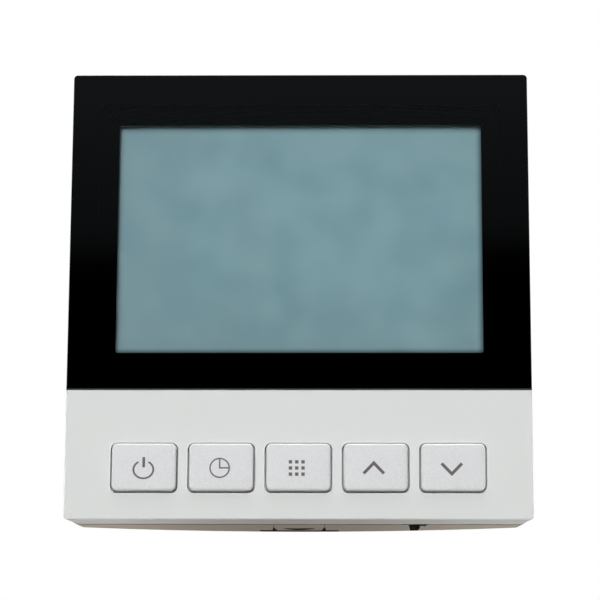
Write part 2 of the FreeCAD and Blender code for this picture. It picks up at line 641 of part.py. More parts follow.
def tab_cuts():
    """The window that the release tab fills, its relief notches and the cuts in the rim."""
    half = TAB_W / 2 + TAB_GAP
    top = -REAR_IN_H + TONGUE_T + TONGUE_FIT
    low = -PANEL_H
    back = -REAR_STRIP
    tools = [box(-half, half, PARTING - TONGUE_REACH - 1, back, low, top)]
    for side in (-1, 1):
        inner = side * (half - TAB_NOTCH_IN)
        outer = side * (half + TAB_NOTCH_OUT)
        apex = side * half
        loop = [Vector(inner, back, low), Vector(outer, back, low), Vector(apex, back - TAB_NOTCH_L, low),
                Vector(inner, back, low)]
        tools.append(Part.Face(Part.makePolygon(loop)).extrude(Vector(0, 0, top - low)))
        far = side * (half + TAB_RIM_CUT_W)
        tools.append(box(min(apex, far), max(apex, far), back - TAB_RIM_CUT_D, back, low, -REAR_IN_H))
    return tools


def release_tab():
    """A springy tab in the bottom edge; its finger reaches through the frame's catch window."""
    plate = box(-TAB_W / 2, TAB_W / 2, TAB_FRONT, TAB_END, TAB_BOTTOM, TAB_TOP)
    finger_front = BRIDGE_FRONT - FRAME_CLEARANCE - FINGER_T
    riser = box(-FINGER_W / 2, FINGER_W / 2, finger_front, finger_front + FINGER_T, TAB_TOP, FINGER_TOP)
    finger = box(-FINGER_W / 2, FINGER_W / 2, finger_front, -PRONG_GAP, FINGER_TOP - FINGER_T, FINGER_TOP)
    hook = box(-FINGER_W / 2, FINGER_W / 2, -PRONG_GAP - FINGER_T, -PRONG_GAP, CATCH_BOTTOM,
               FINGER_TOP - FINGER_T)
    solid = join(plate, [riser, finger, hook])
    thumb_back = TAB_END - THUMB_RIM
    disc = Part.makeCylinder(THUMB_R, THUMB_D, Vector(0, thumb_back - THUMB_R, TAB_BOTTOM))
    keep = box(-THUMB_R, THUMB_R, thumb_back - THUMB_L, 0, TAB_BOTTOM - 1, TAB_TOP)
    notches = tab_cuts()[1:]
    return cut(solid, [disc.common(keep)] + notches)


def cover_screws():
    head_seat = FLOOR_BACK - SCREW_HEAD_T
    length = head_seat - BOSS_END + SCREW_BITE - FRAME_CLEARANCE
    return [screw(x, z, head_seat, length, SCREW_R, SCREW_HEAD_R, SCREW_HEAD_T)
            for x, z in corners(COVER_SCREW_X, COVER_SCREW_Z)]


# ---- steel frame on the wall ---------------------------------------------------------------
def wall_slot(x):
    """A slot along X for one wall screw."""
    return slab(SLOT_LENGTH / 2, SLOT_R, SLOT_R - 0.001, BRIDGE_FRONT, 1, x, 0)


def mounting_frame():
    plate = slab(FRAME_HALF_W, FRAME_HALF_H, FRAME_CORNER_R, FRAME_FRONT, 0)
    bridge_top = BRIDGE_H - FRAME_HALF_H
    recess_half = BRIDGE_W / 2 - FRAME_T
    recess = box(-recess_half, recess_half, FRAME_FRONT, 1, -PANEL_H, bridge_top - FRAME_T)
    bridge = box(-BRIDGE_W / 2, BRIDGE_W / 2, BRIDGE_FRONT, FRAME_FRONT, -FRAME_HALF_H, bridge_top)
    window_half = FINGER_W / 2 + FRAME_CLEARANCE
    window_low = CATCH_BOTTOM - CATCH_CLEARANCE
    window = box(-window_half, window_half, BRIDGE_FRONT - 1, 1, window_low, bridge_top - FRAME_T)
    solid = cut(join(plate.cut(recess), [bridge]), [window])
    tools = [wall_slot(-SLOT_SPACING / 2), wall_slot(SLOT_SPACING / 2)]
    tools.append(block(0, HEADER_Z, PIN_COUNT * PIN_PITCH + 4 * FRAME_CLEARANCE,
                       SOCKET_H + 2 * FRAME_CLEARANCE, FRAME_FRONT - 1, 1))
    for x in (-PRONG_X, PRONG_X):
        tools.append(block(x, HALF_H - PRONG_BELOW_TOP, PRONG_W + 2 * PRONG_GAP, PRONG_T + 2 * PRONG_GAP,
                           FRAME_FRONT - 1, 1))
    for x, z in corners(FRAME_SCREW_X, FRAME_SCREW_Z):
        tools.append(countersink(x, z, TONGUE_FIT))
    return cut(solid, tools)


def countersink(x, z, margin):
    """The cone of a countersunk head that ends flush with the frame's front."""
    wide = FRAME_SCREW_R + FRAME_T + margin
    narrow = FRAME_SCREW_R + margin
    return Part.makeCone(wide, narrow, FRAME_T, Vector(x, FRAME_FRONT, z), Vector(0, 1, 0))


def frame_screws():
    screws = []
    for x, z in corners(FRAME_SCREW_X, FRAME_SCREW_Z):
        body = countersink(x, z, 0).fuse(rod(x, z, FRAME_SCREW_R, 0, FRAME_SCREW_LENGTH))
        arm = 2 * FRAME_SCREW_R
        cross = [block(x, z, arm, DRIVE_W, FRAME_FRONT, FRAME_FRONT + FRAME_T / 2),
                 block(x, z, DRIVE_W, arm, FRAME_FRONT, FRAME_FRONT + FRAME_T / 2)]
        screws.append(cut(body, cross))
    return screws


# ---- power module --------------------------------------------------------------------------
def stepped_block(inset, y0, deep, step):
    """A block whose lower part is shallower; inset shrinks it on every side."""
    half_w = HOUSING_W / 2 - inset
    half_h = HOUSING_H / 2 - inset
    upper = box(-half_w, half_w, y0, deep, STEP_Z + inset, half_h)
    lower = box(-half_w, half_w, y0, step, -half_h, STEP_Z + inset)
    return upper.fuse(lower).removeSplitter()


def rounded_edge(edge):
    """The upper block's outer edges, apart from those that lie on the steel frame."""
    low = edge.BoundBox
    return low.YMax > STEP_DEPTH + 1 and low.ZMax > STEP_Z - 1


def housing_vents():
    """Cooling slots through both sides of the housing, above the terminal step."""
    back = HOUSING_DEPTH - VENT_SLOT_BACK
    first = (STEP_Z + HOUSING_H / 2 - (VENT_COUNT - 1) * VENT_PITCH) / 2
    slots = []
    for i in range(VENT_COUNT):
        z = first + i * VENT_PITCH
        for side in (-1, 1):
            x = side * (HOUSING_W / 2 - HOUSING_WALL / 2)
            slots.append(block(x, z, 2 * HOUSING_WALL, VENT_SLOT_W, back - VENT_SLOT_L, back))
    return slots


def board_boss_places():
    x = HOUSING_IN_W - BOSS_R - POWER_BOARD_GAP
    return [(-x, STEP_Z / 2), (x, STEP_Z / 2)]


def power_housing():
    shell = stepped_block(0, 0, HOUSING_DEPTH, STEP_DEPTH)
    shell = shell.makeFillet(HOUSING_EDGE_R, [e for e in shell.Edges if rounded_edge(e)])
    room = stepped_block(HOUSING_WALL, -1, HOUSING_DEPTH - HOUSING_WALL, STEP_DEPTH - HOUSING_WALL)
    solid = shell.cut(room)
    added = []
    holes = []
    for x, z in corners(FRAME_SCREW_X, FRAME_SCREW_Z):
        end = HOUSING_DEPTH if z > 0 else STEP_DEPTH
        added.append(rod(x, z, HOUSING_BOSS_R, 0, end - HOUSING_WALL / 2))
        holes.append(rod(x, z, FRAME_SCREW_R + THREAD_FIT, -1, FRAME_SCREW_LENGTH + THREAD_FIT))
    for x, z in board_boss_places():
        added.append(rod(x, z, BOSS_R, POWER_BOARD_BACK, HOUSING_DEPTH - HOUSING_WALL / 2))
        bite_end = POWER_BOARD_BACK + SCREW_BITE
        holes.append(rod(x, z, SCREW_R + THREAD_FIT, POWER_BOARD_BACK - 1, bite_end))
    for side in (-1, 1):
        x = side * HOUSING_W / 4
        z = -HOUSING_IN_H + SOCKET_H / 2
        added.append(block(x, z, SOCKET_H, HOUSING_WALL, POWER_BOARD_BACK, STEP_DEPTH - HOUSING_WALL / 2))
    for x in TERMINAL_XS:
        holes.append(rod(x, pin_z(), TERMINAL_PIN_R + THREAD_FIT, POWER_BOARD_BACK, STEP_DEPTH + 1))
    return cut(join(solid, added), holes + housing_vents())


def power_board():
    half_w = HOUSING_IN_W - POWER_BOARD_GAP
    half_h = HOUSING_IN_H - POWER_BOARD_GAP
    board = box(-half_w, half_w, POWER_BOARD_Y, POWER_BOARD_BACK, -half_h, half_h)
    tools = []
    notch = 2 * (half_w - FRAME_SCREW_X + HOUSING_BOSS_R + POWER_BOARD_GAP)
    for x, z in corners(half_w, half_h):
        tools.append(block(x, z, notch, notch, POWER_BOARD_Y - 1, POWER_BOARD_BACK + 1))
    for x, z in board_boss_places():
        tools.append(rod(x, z, SCREW_R + HOLE_CLEARANCE, POWER_BOARD_Y - 1, POWER_BOARD_BACK + 1))
    for x in TERMINAL_XS:
        tools.append(rod(x, pin_z(), TERMINAL_PIN_R + THREAD_FIT, POWER_BOARD_Y - 1, POWER_BOARD_BACK + 1))
    return cut(board, tools)


def power_board_screws():
    """These go in from the front, so each is a rear screw turned about its own seat."""
    screws = []
    for x, z in board_boss_places():
        length = BOARD_T + SCREW_BITE - FRAME_CLEARANCE
        body = screw(x, z, POWER_BOARD_Y, length, SCREW_R, SCREW_HEAD_R, SCREW_HEAD_T)
        screws.append(body.mirror(Vector(0, POWER_BOARD_Y, 0), Vector(0, 1, 0)))
    return screws


def board_part(x, z, size):
    width, height, depth = size
    return block(x, z, width, height, POWER_BOARD_BACK, POWER_BOARD_BACK + depth)


def heavy_row_z(size):
    """The transformer and the relay stand above the row of small parts."""
    return size[1] / 2 + PART_GAP


def transformer():
    """A laminated core with a wound bobbin standing out of it, front and back."""
    x = -PART_GAP / 2 - TRANSFORMER[0] / 2
    z = heavy_row_z(TRANSFORMER)
    core = board_part(x, z, (TRANSFORMER[0], CORE_H, TRANSFORMER[2]))
    winding = slab(WINDING_W / 2, TRANSFORMER[1] / 2, PART_GAP, POWER_BOARD_BACK,
                   POWER_BOARD_BACK + WINDING_T, x, z)
    return join(core, [winding])


def relay():
    return board_part(PART_GAP / 2 + RELAY[0] / 2, heavy_row_z(RELAY), RELAY)


def small_row_z():
    return STEP_Z / 2 + PART_GAP / 2


def small_row_xs():
    """Centres of two capacitors, the varistor and the fuse, side by side about x = 0."""
    widths = [2 * radius for radius, height in CAPACITORS] + [VARISTOR_T, 2 * FUSE_R]
    x = -(sum(widths) + SMALL_GAP * (len(widths) - 1)) / 2
    centres = []
    for width in widths:
        centres.append(x + width / 2)
        x += width + SMALL_GAP
    return centres


def capacitors():
    return [rod(x, small_row_z(), radius, POWER_BOARD_BACK, POWER_BOARD_BACK + height)
            for x, (radius, height) in zip(small_row_xs(), CAPACITORS)]


def varistor():
    """A disc standing on edge, on two leads."""
    x = small_row_xs()[2] - VARISTOR_T / 2
    rise = VARISTOR_R + LEAD_RISE
    start = Vector(x, POWER_BOARD_BACK + rise, small_row_z())
    disc = Part.makeCylinder(VARISTOR_R, VARISTOR_T, start, Vector(1, 0, 0))
    leads = [rod(x + VARISTOR_T / 2, small_row_z() + s * VARISTOR_R / 2, LEAD_W, POWER_BOARD_BACK,
                 POWER_BOARD_BACK + rise) for s in (-1, 1)]
    return join(disc, leads)


def fuse():
    return rod(small_row_xs()[3], small_row_z(), FUSE_R, POWER_BOARD_BACK, POWER_BOARD_BACK + FUSE_T)


def board_socket():
    """The socket that takes the header pins through the frame."""
    body = block(0, HEADER_Z, PIN_COUNT * PIN_PITCH, SOCKET_H, -SOCKET_OUT, POWER_BOARD_Y)
    hole = PIN_W + 2 * PIN_SLACK
    return cut(body, [block(x, HEADER_Z, hole, hole, -SOCKET_OUT - 1, PIN_REACH + PIN_ROOM) for x in PIN_XS])


# ---- terminals -----------------------------------------------------------------------------
def terminal_z():
    return -HOUSING_H / 2 + TERMINAL_H / 2


def cage_z():
    return terminal_z() + TERMINAL_H / 2 - HOUSING_WALL - CAGE_GAP - CAGE_L / 2


def pin_z():
    return cage_z() + CAGE_L / 2 - 2 * TERMINAL_PIN_R


def cage_y():
    return STEP_DEPTH + HOUSING_WALL


def terminal_block():
    width = TERMINAL_COUNT * TERMINAL_PITCH
    body = block(0, terminal_z(), width, TERMINAL_H, STEP_DEPTH, STEP_DEPTH + TERMINAL_DEPTH)
    tools = []
    cage_room = CAGE_T + CAGE_GAP
    for x in TERMINAL_XS:
        low = -HOUSING_H / 2 - 1
        tools.append(box(x - WIRE_W / 2, x + WIRE_W / 2, cage_y(), cage_y() + WIRE_W, low, cage_z()))
        tools.append(block(x, cage_z(), WIRE_W, CAGE_L + 2 * CAGE_GAP, cage_y(), cage_y() + cage_room))
        tools.append(rod(x, cage_z(), CLAMP_HEAD_R + CAGE_GAP, cage_y() + cage_room,
                         STEP_DEPTH + TERMINAL_DEPTH + 1))
        tools.append(rod(x, pin_z(), TERMINAL_PIN_R + THREAD_FIT, STEP_DEPTH - 1, cage_y() + 1))
    back = STEP_DEPTH + TERMINAL_DEPTH
    for x in TERMINAL_XS[:-1]:
        middle = x + TERMINAL_PITCH / 2
        tools.append(block(middle, terminal_z(), GROOVE_W, TERMINAL_H + 1, back - GROOVE_D, back + 1))
        tools.append(block(middle, -HOUSING_H / 2, GROOVE_W, 2 * GROOVE_D, STEP_DEPTH + 1, back + 1))
    return cut(body, tools)


def terminal_clamps():
    """Brass cages that a wire passes through; the screw comes through the cage's rear wall."""
    cages = []
    width = WIRE_W - 2 * CAGE_GAP
    for x in TERMINAL_XS:
        cage = block(x, cage_z(), width, CAGE_L, cage_y(), cage_y() + CAGE_T)
        wire = block(x, cage_z(), width - 2 * CAGE_WALL, CAGE_L + 1, cage_y() + CAGE_WALL,
                     cage_y() + WIRE_W)
        thread = rod(x, cage_z(), CLAMP_SCREW_R + THREAD_FIT, cage_y() + WIRE_W / 2, cage_y() + CAGE_T + 1)
        cages.append(cut(cage, [wire, thread]))
    return cages


def terminal_screws():
    screws = []
    seat = cage_y() + CAGE_T + CAGE_GAP
    for x in TERMINAL_XS:
        head = rod(x, cage_z(), CLAMP_HEAD_R, seat, seat + CLAMP_HEAD_T)
        shank = rod(x, cage_z(), CLAMP_SCREW_R, cage_y() + WIRE_W, seat)
        slot = block(x, cage_z(), 2 * CLAMP_HEAD_R, CAGE_WALL, seat + CLAMP_HEAD_T / 2, seat + CLAMP_HEAD_T)
        screws.append(head.fuse(shank).cut(slot))
    return screws


def terminal_pins():
    return [rod(x, pin_z(), TERMINAL_PIN_R, POWER_BOARD_Y - PIN_SLACK, cage_y()) for x in TERMINAL_XS]


# ---- write every sub-part ------------------------------------------------------------------
def main():
    os.makedirs("parts", exist_ok=True)
    makers = (front_shell, display_window, window_mask, lcd_gasket, lcd_glass, lcd_connector,
              backlight_guide, reflector, backlight_leds, lcd_holder, control_board, board_screws,
              microcontroller, clock_crystal, backup_battery, battery_clip, pin_header, header_pins,
              room_sensor, rear_cover, cover_screws, release_tab, mounting_frame, frame_screws,
              power_housing, power_board, power_board_screws, transformer, relay, capacitors, varistor,
              fuse, board_socket, terminal_block, terminal_clamps, terminal_screws, terminal_pins)
    for maker in makers:
        save(maker.__name__, maker())
    for name, x in zip(BUTTON_NAMES, BUTTON_XS):
        save(name + "_button", button_cap(x))
        save(name + "_plunger", plunger(x))
        save(name + "_switch", switch_body(x))


main()
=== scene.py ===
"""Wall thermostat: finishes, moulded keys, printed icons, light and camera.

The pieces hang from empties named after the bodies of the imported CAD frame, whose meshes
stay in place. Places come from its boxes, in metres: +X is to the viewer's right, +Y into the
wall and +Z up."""

import math

import bmesh
import bpy
from bpy.props import FloatProperty, FloatVectorProperty, PointerProperty
from mathutils import Matrix, Vector


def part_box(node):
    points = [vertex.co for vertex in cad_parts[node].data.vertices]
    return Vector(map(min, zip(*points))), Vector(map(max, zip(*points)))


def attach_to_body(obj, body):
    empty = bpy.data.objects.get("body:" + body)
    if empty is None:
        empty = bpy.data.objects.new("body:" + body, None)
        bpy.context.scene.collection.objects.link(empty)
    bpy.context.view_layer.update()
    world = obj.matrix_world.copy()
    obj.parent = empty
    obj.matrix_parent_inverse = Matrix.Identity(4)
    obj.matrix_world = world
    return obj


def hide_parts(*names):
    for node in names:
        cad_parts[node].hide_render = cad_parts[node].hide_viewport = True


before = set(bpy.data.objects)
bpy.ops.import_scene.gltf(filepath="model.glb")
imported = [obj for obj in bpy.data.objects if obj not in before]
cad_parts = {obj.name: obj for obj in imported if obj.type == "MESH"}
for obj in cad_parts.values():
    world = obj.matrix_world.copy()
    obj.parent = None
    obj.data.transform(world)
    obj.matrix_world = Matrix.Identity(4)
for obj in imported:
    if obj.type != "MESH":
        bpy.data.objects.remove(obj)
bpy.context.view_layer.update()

bl_info = {
    "name": "Wall thermostat",
    "version": (1, 0, 0),
    "blender": (4, 5, 0),
    "location": "View3D > Sidebar > Thermostat",
    "description": "Finishes and details a wall thermostat with five keys and a large display",
    "category": "Object",
}

MM = 0.001
TINY = 1e-6                         # closer than this counts as touching
ALONG = 0.99                        # share of a direction that counts as along an axis
FULL_TURN = 2 * math.pi
LYING = (0, 0, 0)                   # turn of a flat primitive that stays level
STANDING = (FULL_TURN / 4, 0, 0)    # turn of one that stands up, level with the face
SMOOTH_ANGLE = math.radians(32)
WINDOW_IOR = 1.49                   # of clear acrylic
KEYS = ("power", "clock", "menu", "up", "down")
PANEL_LOW, PANEL_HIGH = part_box("display_window")
GASKET_LOW, GASKET_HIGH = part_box("lcd_gasket")
GLASS_LOW, GLASS_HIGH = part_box("lcd_glass")


# ---- sizes, colours and studio that a user would change ------------------------------------
def length(name, description, millimetres):
    return FloatProperty(name=name, description=description, default=millimetres * MM,
                         min=0, precision=5, unit="LENGTH")


def angle(name, description, degrees):
    return FloatProperty(name=name, description=description, default=math.radians(degrees),
                         unit="ROTATION")


def amount(name, description, value):
    return FloatProperty(name=name, description=description, default=value, min=0)


def colour(name, description, value):
    return FloatVectorProperty(name=name, description=description, default=value, size=3,
                               min=0, max=1, subtype="COLOR")


def place(name, description, millimetres):
    return FloatVectorProperty(name=name, description=description, size=3, subtype="TRANSLATION",
                               default=[value * MM for value in millimetres], precision=5)


class ThermostatSizes(bpy.types.PropertyGroup):
    """Sizes of the keys, their icons and the display's clear area."""

    key_rim: length("Key rim", "Width of the rim that holds a key behind the shell", 0.8)
    key_rim_back: length("Rim to stub", "From the back of the rim to the end of the stub", 0.4)
    key_rim_depth: length("Rim depth", "Thickness of the rim", 0.6)
    key_lift: length("Key lift", "How much closer to the shell the key's top edge is", 0.05)
    key_corner: length("Key corner", "Radius of the key's corners", 1.0)
    key_edge: length("Key edge", "Rounding of the key's front edge", 0.45)
    key_crown: length("Key crown", "How far the middle of a key swells forward", 0.06)
    stub: length("Stub", "Width of the stub that meets the switch", 3.4)
    print_relief: length("Print", "How far the printed icons stand above the key", 0.02)
    print_depth: length("Print depth", "Thickness of an icon, most of it inside the key", 0.12)
    power_ring: length("Power ring", "Half width of the ring, to the middle of its stroke", 1.82)
    power_ring_squash: amount("Ring height", "Height of the ring as a share of its width", 0.9)
    power_stroke: length("Power stroke", "Width of the ring's stroke", 0.36)
    power_bar: length("Power bar width", "Width of the bar", 0.5)
    power_bar_top: length("Power bar top", "Top of the bar above the ring's centre", 2.34)
    power_bar_foot: length("Power bar foot", "Foot of the bar above the ring's centre", 0.42)
    power_bar_right: length("Power bar shift", "How far right of the ring's centre the bar is", 0.05)
    power_gap: angle("Power gap", "Half the opening at the top of the ring", 33)
    clock_ring: length("Clock ring", "Radius to the middle of the ring's stroke", 1.76)
    clock_stroke: length("Clock stroke", "Width of the ring and the hands", 0.27)
    dot: length("Menu dot", "Side of a dot", 0.63)
    dot_pitch: length("Menu dot pitch", "Between the centres of neighbouring dots", 1.15)
    arrow_width: length("Arrow width", "Overall width of an arrow", 4.14)
    arrow_stroke: length("Arrow stroke", "Width of an arrow's stroke", 0.57)
    arrow_slope: angle("Arrow slope", "Slope of an arrow's sides", 46.5)
    clear_margin: length("Clear margin", "From the gasket's outside to the display's clear area", 1.7)
    entry: length("Light entry", "How far round the clear area light enters over the print", 3.5)


class ThermostatColours(bpy.types.PropertyGroup):
    """Colours of the outside finishes."""

    shell: colour("Shell", "White plastic of the front", (0.685, 0.706, 0.702))
    key: colour("Keys", "White plastic of the keys", (0.681, 0.693, 0.711))
    # The rear cover's colour is the white plastic made darker and warmer: painted shade and warm bounce
    # light of its underside.
    rear: colour("Rear cover", "Plastic of the rear cover and latch", (0.487, 0.438, 0.365))
    window: colour("Window", "Black print behind the window", (0.0001, 0.0001, 0.0001))
    display: colour("Display", "Display at rest", (0.209, 0.369, 0.414))
    display_dim: colour("Display, dim", "Darker clouds in the display", (0.161, 0.303, 0.346))
    icon: colour("Icons", "Printed icons on the keys", (0.125, 0.108, 0.117))
    housing: colour("Power housing", "Plastic of the box in the wall", (0.60, 0.60, 0.585))
    terminals: colour("Terminals", "Plastic of the terminal block", (0.03, 0.17, 0.065))
    floor: colour("Floor", "Pale studio floor", (0.46, 0.38, 0.28))


class ThermostatStudio(bpy.types.PropertyGroup):
    """Camera and light."""

    aim: place("Aim", "Point that the camera looks at", (0.1415, -13.5, -1.4108))
    azimuth: angle("Azimuth", "Camera's turn round the panel", 1.0208)
    elevation: angle("Elevation", "Camera's height above the panel's axis", -15.692)
    roll: angle("Roll", "Camera's roll", 0.2557)
    distance: length("Distance", "Camera to the point that it looks at", 578.92)
    lens: amount("Lens", "Focal length for a 36 mm sensor", 186.76)
    ambient: amount("Ambient", "Light from all round", 0.05)
    front_power: amount("Front lamp", "Power of the large lamp before the panel, in watts", 4.65)
    top_power: amount("Top lamp", "Power of the lamp overhead, in watts", 1.1)
    rear_power: amount("Rear lamp", "Power of the lamp behind the panel, in watts", 5.3)
    side_power: amount("Side lamps", "Power of the lamp on each side, in watts", 2.2)
    low_power: amount("Low lamps", "Power of each small lamp below a lower corner, in watts", 0.0035)


# ---- shader maths --------------------------------------------------------------------------
class Wire:
    """One output of a material's nodes. Sums on wires add Math nodes."""

    def __init__(self, tree, socket=None):
        self.tree = tree
        self.socket = socket

    def node(self, kind, settings=None, sockets=None, output=0):
        """Adds any node: its settings first, then the values or links of its sockets."""
        made = self.tree.nodes.new("ShaderNode" + kind)
        for name, value in (settings or {}).items():
            if name == "stops":
                ramp = made.color_ramp
                while len(ramp.elements) < len(value):
                    ramp.elements.new(1.0)
                for element, (position, tone) in zip(ramp.elements, value):
                    element.position = position
                    element.color = tone
            else:
                setattr(made, name, value)
        for key, value in (sockets or {}).items():
            self.feed(made.inputs[key], value)
        return Wire(self.tree, made.outputs[output])

    def feed(self, socket, value):
        """Links a wire to a socket, or sets the socket's own value."""
        if isinstance(value, Wire):
            self.tree.links.new(value.socket, socket)
        else:
            socket.default_value = value

    def math(self, operation, *values):
        return self.node("Math", {"operation": operation}, dict(enumerate(values)))

    def __add__(self, other):
        return self.math("ADD", self, other)

    __radd__ = __add__

    def __sub__(self, other):
        return self.math("SUBTRACT", self, other)

    def __rsub__(self, other):
        return self.math("SUBTRACT", other, self)

    def __mul__(self, other):
        return self.math("MULTIPLY", self, other)

    __rmul__ = __mul__

    def __truediv__(self, other):
        return self.math("DIVIDE", self, other)

    def __rtruediv__(self, other):
        return self.math("DIVIDE", other, self)

    def __gt__(self, other):
        return self.math("GREATER_THAN", self, other)

    def __lt__(self, other):
        return self.math("LESS_THAN", self, other)

    def __abs__(self):
        return self.math("ABSOLUTE", self)

    def most(self, other):
        return self.math("MAXIMUM", self, other)

    def power(self, exponent):
        return self.math("POWER", self, exponent)

    def clamped(self):
        return self.node("Clamp", None, {0: self})

    def parts(self):
        """The x, y and z of a vector."""
        outputs = self.node("SeparateXYZ", None, {0: self}).socket.node.outputs
        return [Wire(self.tree, outputs[axis]) for axis in "XYZ"]

    def swing(self, reach):
        """A noise moved to swing about zero, by this much from end to end."""
        return (self - 0.5) * reach


def opaque(tone):
    """A colour with its alpha."""
    return (*tone[:3], 1.0)


def shaded(tone, factor):
    """A colour made darker or lighter."""
    return tuple(min(1.0, channel * factor) for channel in tone[:3])


class Finish:
    """A material under way: its Principled shader and the wires that feed it."""

    def __init__(self, name, **fixed):
        self.material = bpy.data.materials.new(name)
        self.material.use_nodes = True
        self.tree = self.material.node_tree
        self.shader = self.tree.nodes["Principled BSDF"]
        self.wire = Wire(self.tree)
        for label, value in fixed.items():
            self.shader.inputs[label.replace("_", " ")].default_value = value
        self.point = self.wire.node("TexCoord", output="Object")

    def feed(self, label, value):
        self.wire.feed(self.shader.inputs[label], value)

    def noise(self, size, detail=2.0, roughness=0.55, stretch=None):
        """Noise whose features are about as large as size, in metres."""
        point = self.point
        if stretch:
            point = self.wire.node("Mapping", {"vector_type": "POINT"},
                                   {"Vector": point, "Scale": stretch})
        sockets = {"Vector": point, "Scale": 1 / size, "Detail": detail, "Roughness": roughness}
        return self.wire.node("TexNoise", None, sockets, "Fac")

    def mix(self, factor, low, high):
        """Goes from the low colour to the high one as the factor goes from 0 to 1."""
        low, high = (tone if isinstance(tone, Wire) else opaque(tone) for tone in (low, high))
        return self.wire.node("Mix", {"data_type": "RGBA"}, {0: factor, 6: low, 7: high}, 2)

    def bump(self, height, depth, strength):
        sockets = {"Strength": strength, "Distance": depth, "Height": height}
        return self.wire.node("Bump", None, sockets, "Normal")


def moulded(name, tone, roughness, grain, depth, mottle=0.02, painted_shade_mask=None, **fixed):
    """Moulded plastic: a fine spark-eroded grain, faint flow clouds and uneven gloss.

    The grain's size and depth are in millimetres, and mottle is how far the tone strays. An
    optional function gives the wire that is 1 on the walls inside slots, where the colour is
    darkened as painted shade."""
    cloud_size = 14 * MM
    grain_gloss, cloud_gloss = 0.12, 0.08
    # how dark the painted shade inside slots is, as a share of the tone
    painted_shade_level = 0.16
    finish = Finish(name, **fixed)
    speck = finish.noise(grain * MM, 2.0)
    cloud = finish.noise(cloud_size, 3.0)
    base = finish.mix(cloud, shaded(tone, 1 - mottle), shaded(tone, 1 + mottle))
    if painted_shade_mask:
        # Painted shade: the walls inside slots are darkened in the colour.
        base = finish.mix(painted_shade_mask(finish), base, shaded(tone, painted_shade_level))
    finish.feed("Base Color", base)
    finish.feed("Roughness", roughness + speck.swing(grain_gloss) + cloud.swing(cloud_gloss))
    finish.feed("Normal", finish.bump(speck, depth * MM, strength=0.6))
    return finish.material


def brushed_metal(name, tone, roughness, drawn=True, size=0.25, spots=0.0):
    """Plated or rolled metal: fine lines if it is drawn, cloudy dulling and a few darker spots.

    The size of the lines or grain is in millimetres, and spots is how much of it is spotted."""
    cloud_size, spot_size = 5 * MM, 1.3 * MM
    dull, bright = 0.86, 1.06
    spot_mix, spot_shade = 0.4, 0.5
    line_gloss, cloud_gloss = 0.22, 0.18
    line_depth = 0.004 * MM
    finish = Finish(name, Metallic=1.0)
    lines = finish.noise(size * MM, 3.0, stretch=(1, 1, 12) if drawn else (1, 1, 1))
    cloud = finish.noise(cloud_size, 4.0)
    base = finish.mix(cloud, shaded(tone, dull), shaded(tone, bright))
    if spots:
        spot = finish.noise(spot_size, 2.0) > (1 - spots)
        base = finish.mix(spot * spot_mix, base, shaded(tone, spot_shade))
    finish.feed("Base Color", base)
    finish.feed("Roughness", roughness + lines.swing(line_gloss) + cloud.swing(cloud_gloss))
    finish.feed("Normal", finish.bump(lines, line_depth, strength=0.5))
    return finish.material


def put(material, *nodes):
    """Gives CAD nodes their material."""
    for node in nodes:
        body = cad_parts[node]
        if not body.material_slots:
            body.data.materials.append(material)
        for slot in body.material_slots:
            slot.material = material


def put_plastics(rows):
    """Makes plastics from rows of name, tone, roughness, grain, depth, mottle and CAD nodes."""
    for name, tone, roughness, grain, depth, mottle, *nodes in rows:
        put(moulded(name, tone, roughness, grain, depth, mottle), *nodes)


# ---- modelling helpers ---------------------------------------------------------------------
def clear_selection():
    """Leaves edit mode and deselects every object."""
    if bpy.context.mode != "OBJECT":
        bpy.ops.object.mode_set(mode="OBJECT")
    bpy.ops.object.select_all(action="DESELECT")


def begin(name):
    """Names the primitive just added and opens it for editing, with everything selected."""
    piece = bpy.context.object
    piece.name = name
    piece.data.name = name
    bpy.ops.object.transform_apply(location=False, rotation=True, scale=True)
    bpy.ops.object.mode_set(mode="EDIT")
    bpy.ops.mesh.select_mode(type="VERT")
    bpy.ops.mesh.select_all(action="SELECT")
    return piece


def pick(kind, test):
    """Selects the faces or edges that pass the test, which is given their centre and normal or run."""
    bpy.ops.mesh.select_mode(type=kind)
    bpy.ops.mesh.select_all(action="DESELECT")
    edited = bpy.context.edit_object
    mesh = bmesh.from_edit_mesh(edited.data)
    found = 0
    if kind == "FACE":
        for face in mesh.faces:
            face.select_set(bool(test(face.calc_center_median() + edited.location, face.normal)))
            found += face.select
    else:
        for edge in mesh.edges:
            start, end = (corner.co for corner in edge.verts)
            run = (end - start).normalized()
            edge.select_set(bool(test((start + end) / 2 + edited.location, run)))
            found += edge.select
    bmesh.update_edit_mesh(edited.data)
    if not found:
        raise RuntimeError("nothing was picked on " + edited.name)


def settle(piece, material, body):
    """Closes editing, applies the place, fixes the normals and puts the piece on its body."""
    bpy.ops.mesh.select_all(action="SELECT")
    bpy.ops.mesh.remove_doubles(threshold=TINY)
    bpy.ops.mesh.normals_make_consistent(inside=False)
    bpy.ops.object.mode_set(mode="OBJECT")
    bpy.ops.object.transform_apply(location=True, rotation=True, scale=True)
    bpy.ops.object.shade_smooth_by_angle(angle=SMOOTH_ANGLE)
    attach(piece, material, body)


def attach(piece, material, body):
    """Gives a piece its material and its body."""
    piece.data.materials.clear()
    piece.data.materials.append(material)
    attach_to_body(piece, body)


def apply_modifier(piece, kind, **settings):
    """Adds a modifier to the active piece, sets it and applies it."""
    if bpy.context.mode != "OBJECT":
        bpy.ops.object.mode_set(mode="OBJECT")
    modifier = piece.modifiers.new(kind.title(), kind)
    for name, value in settings.items():
        setattr(modifier, name, value)
    bpy.ops.object.modifier_apply(modifier=modifier.name)


def key_centre(key):
    """Middle of a key, a hair behind the plane of its front."""
    low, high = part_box(key + "_button")
    return Vector(((low.x + high.x) / 2, low.y + TINY, (low.z + high.z) / 2))


def grow(factor_x, factor_z, centre):
    """Scales what is selected across and up, about the centre."""
    bpy.ops.transform.resize(value=(factor_x, 1, factor_z), center_override=centre)


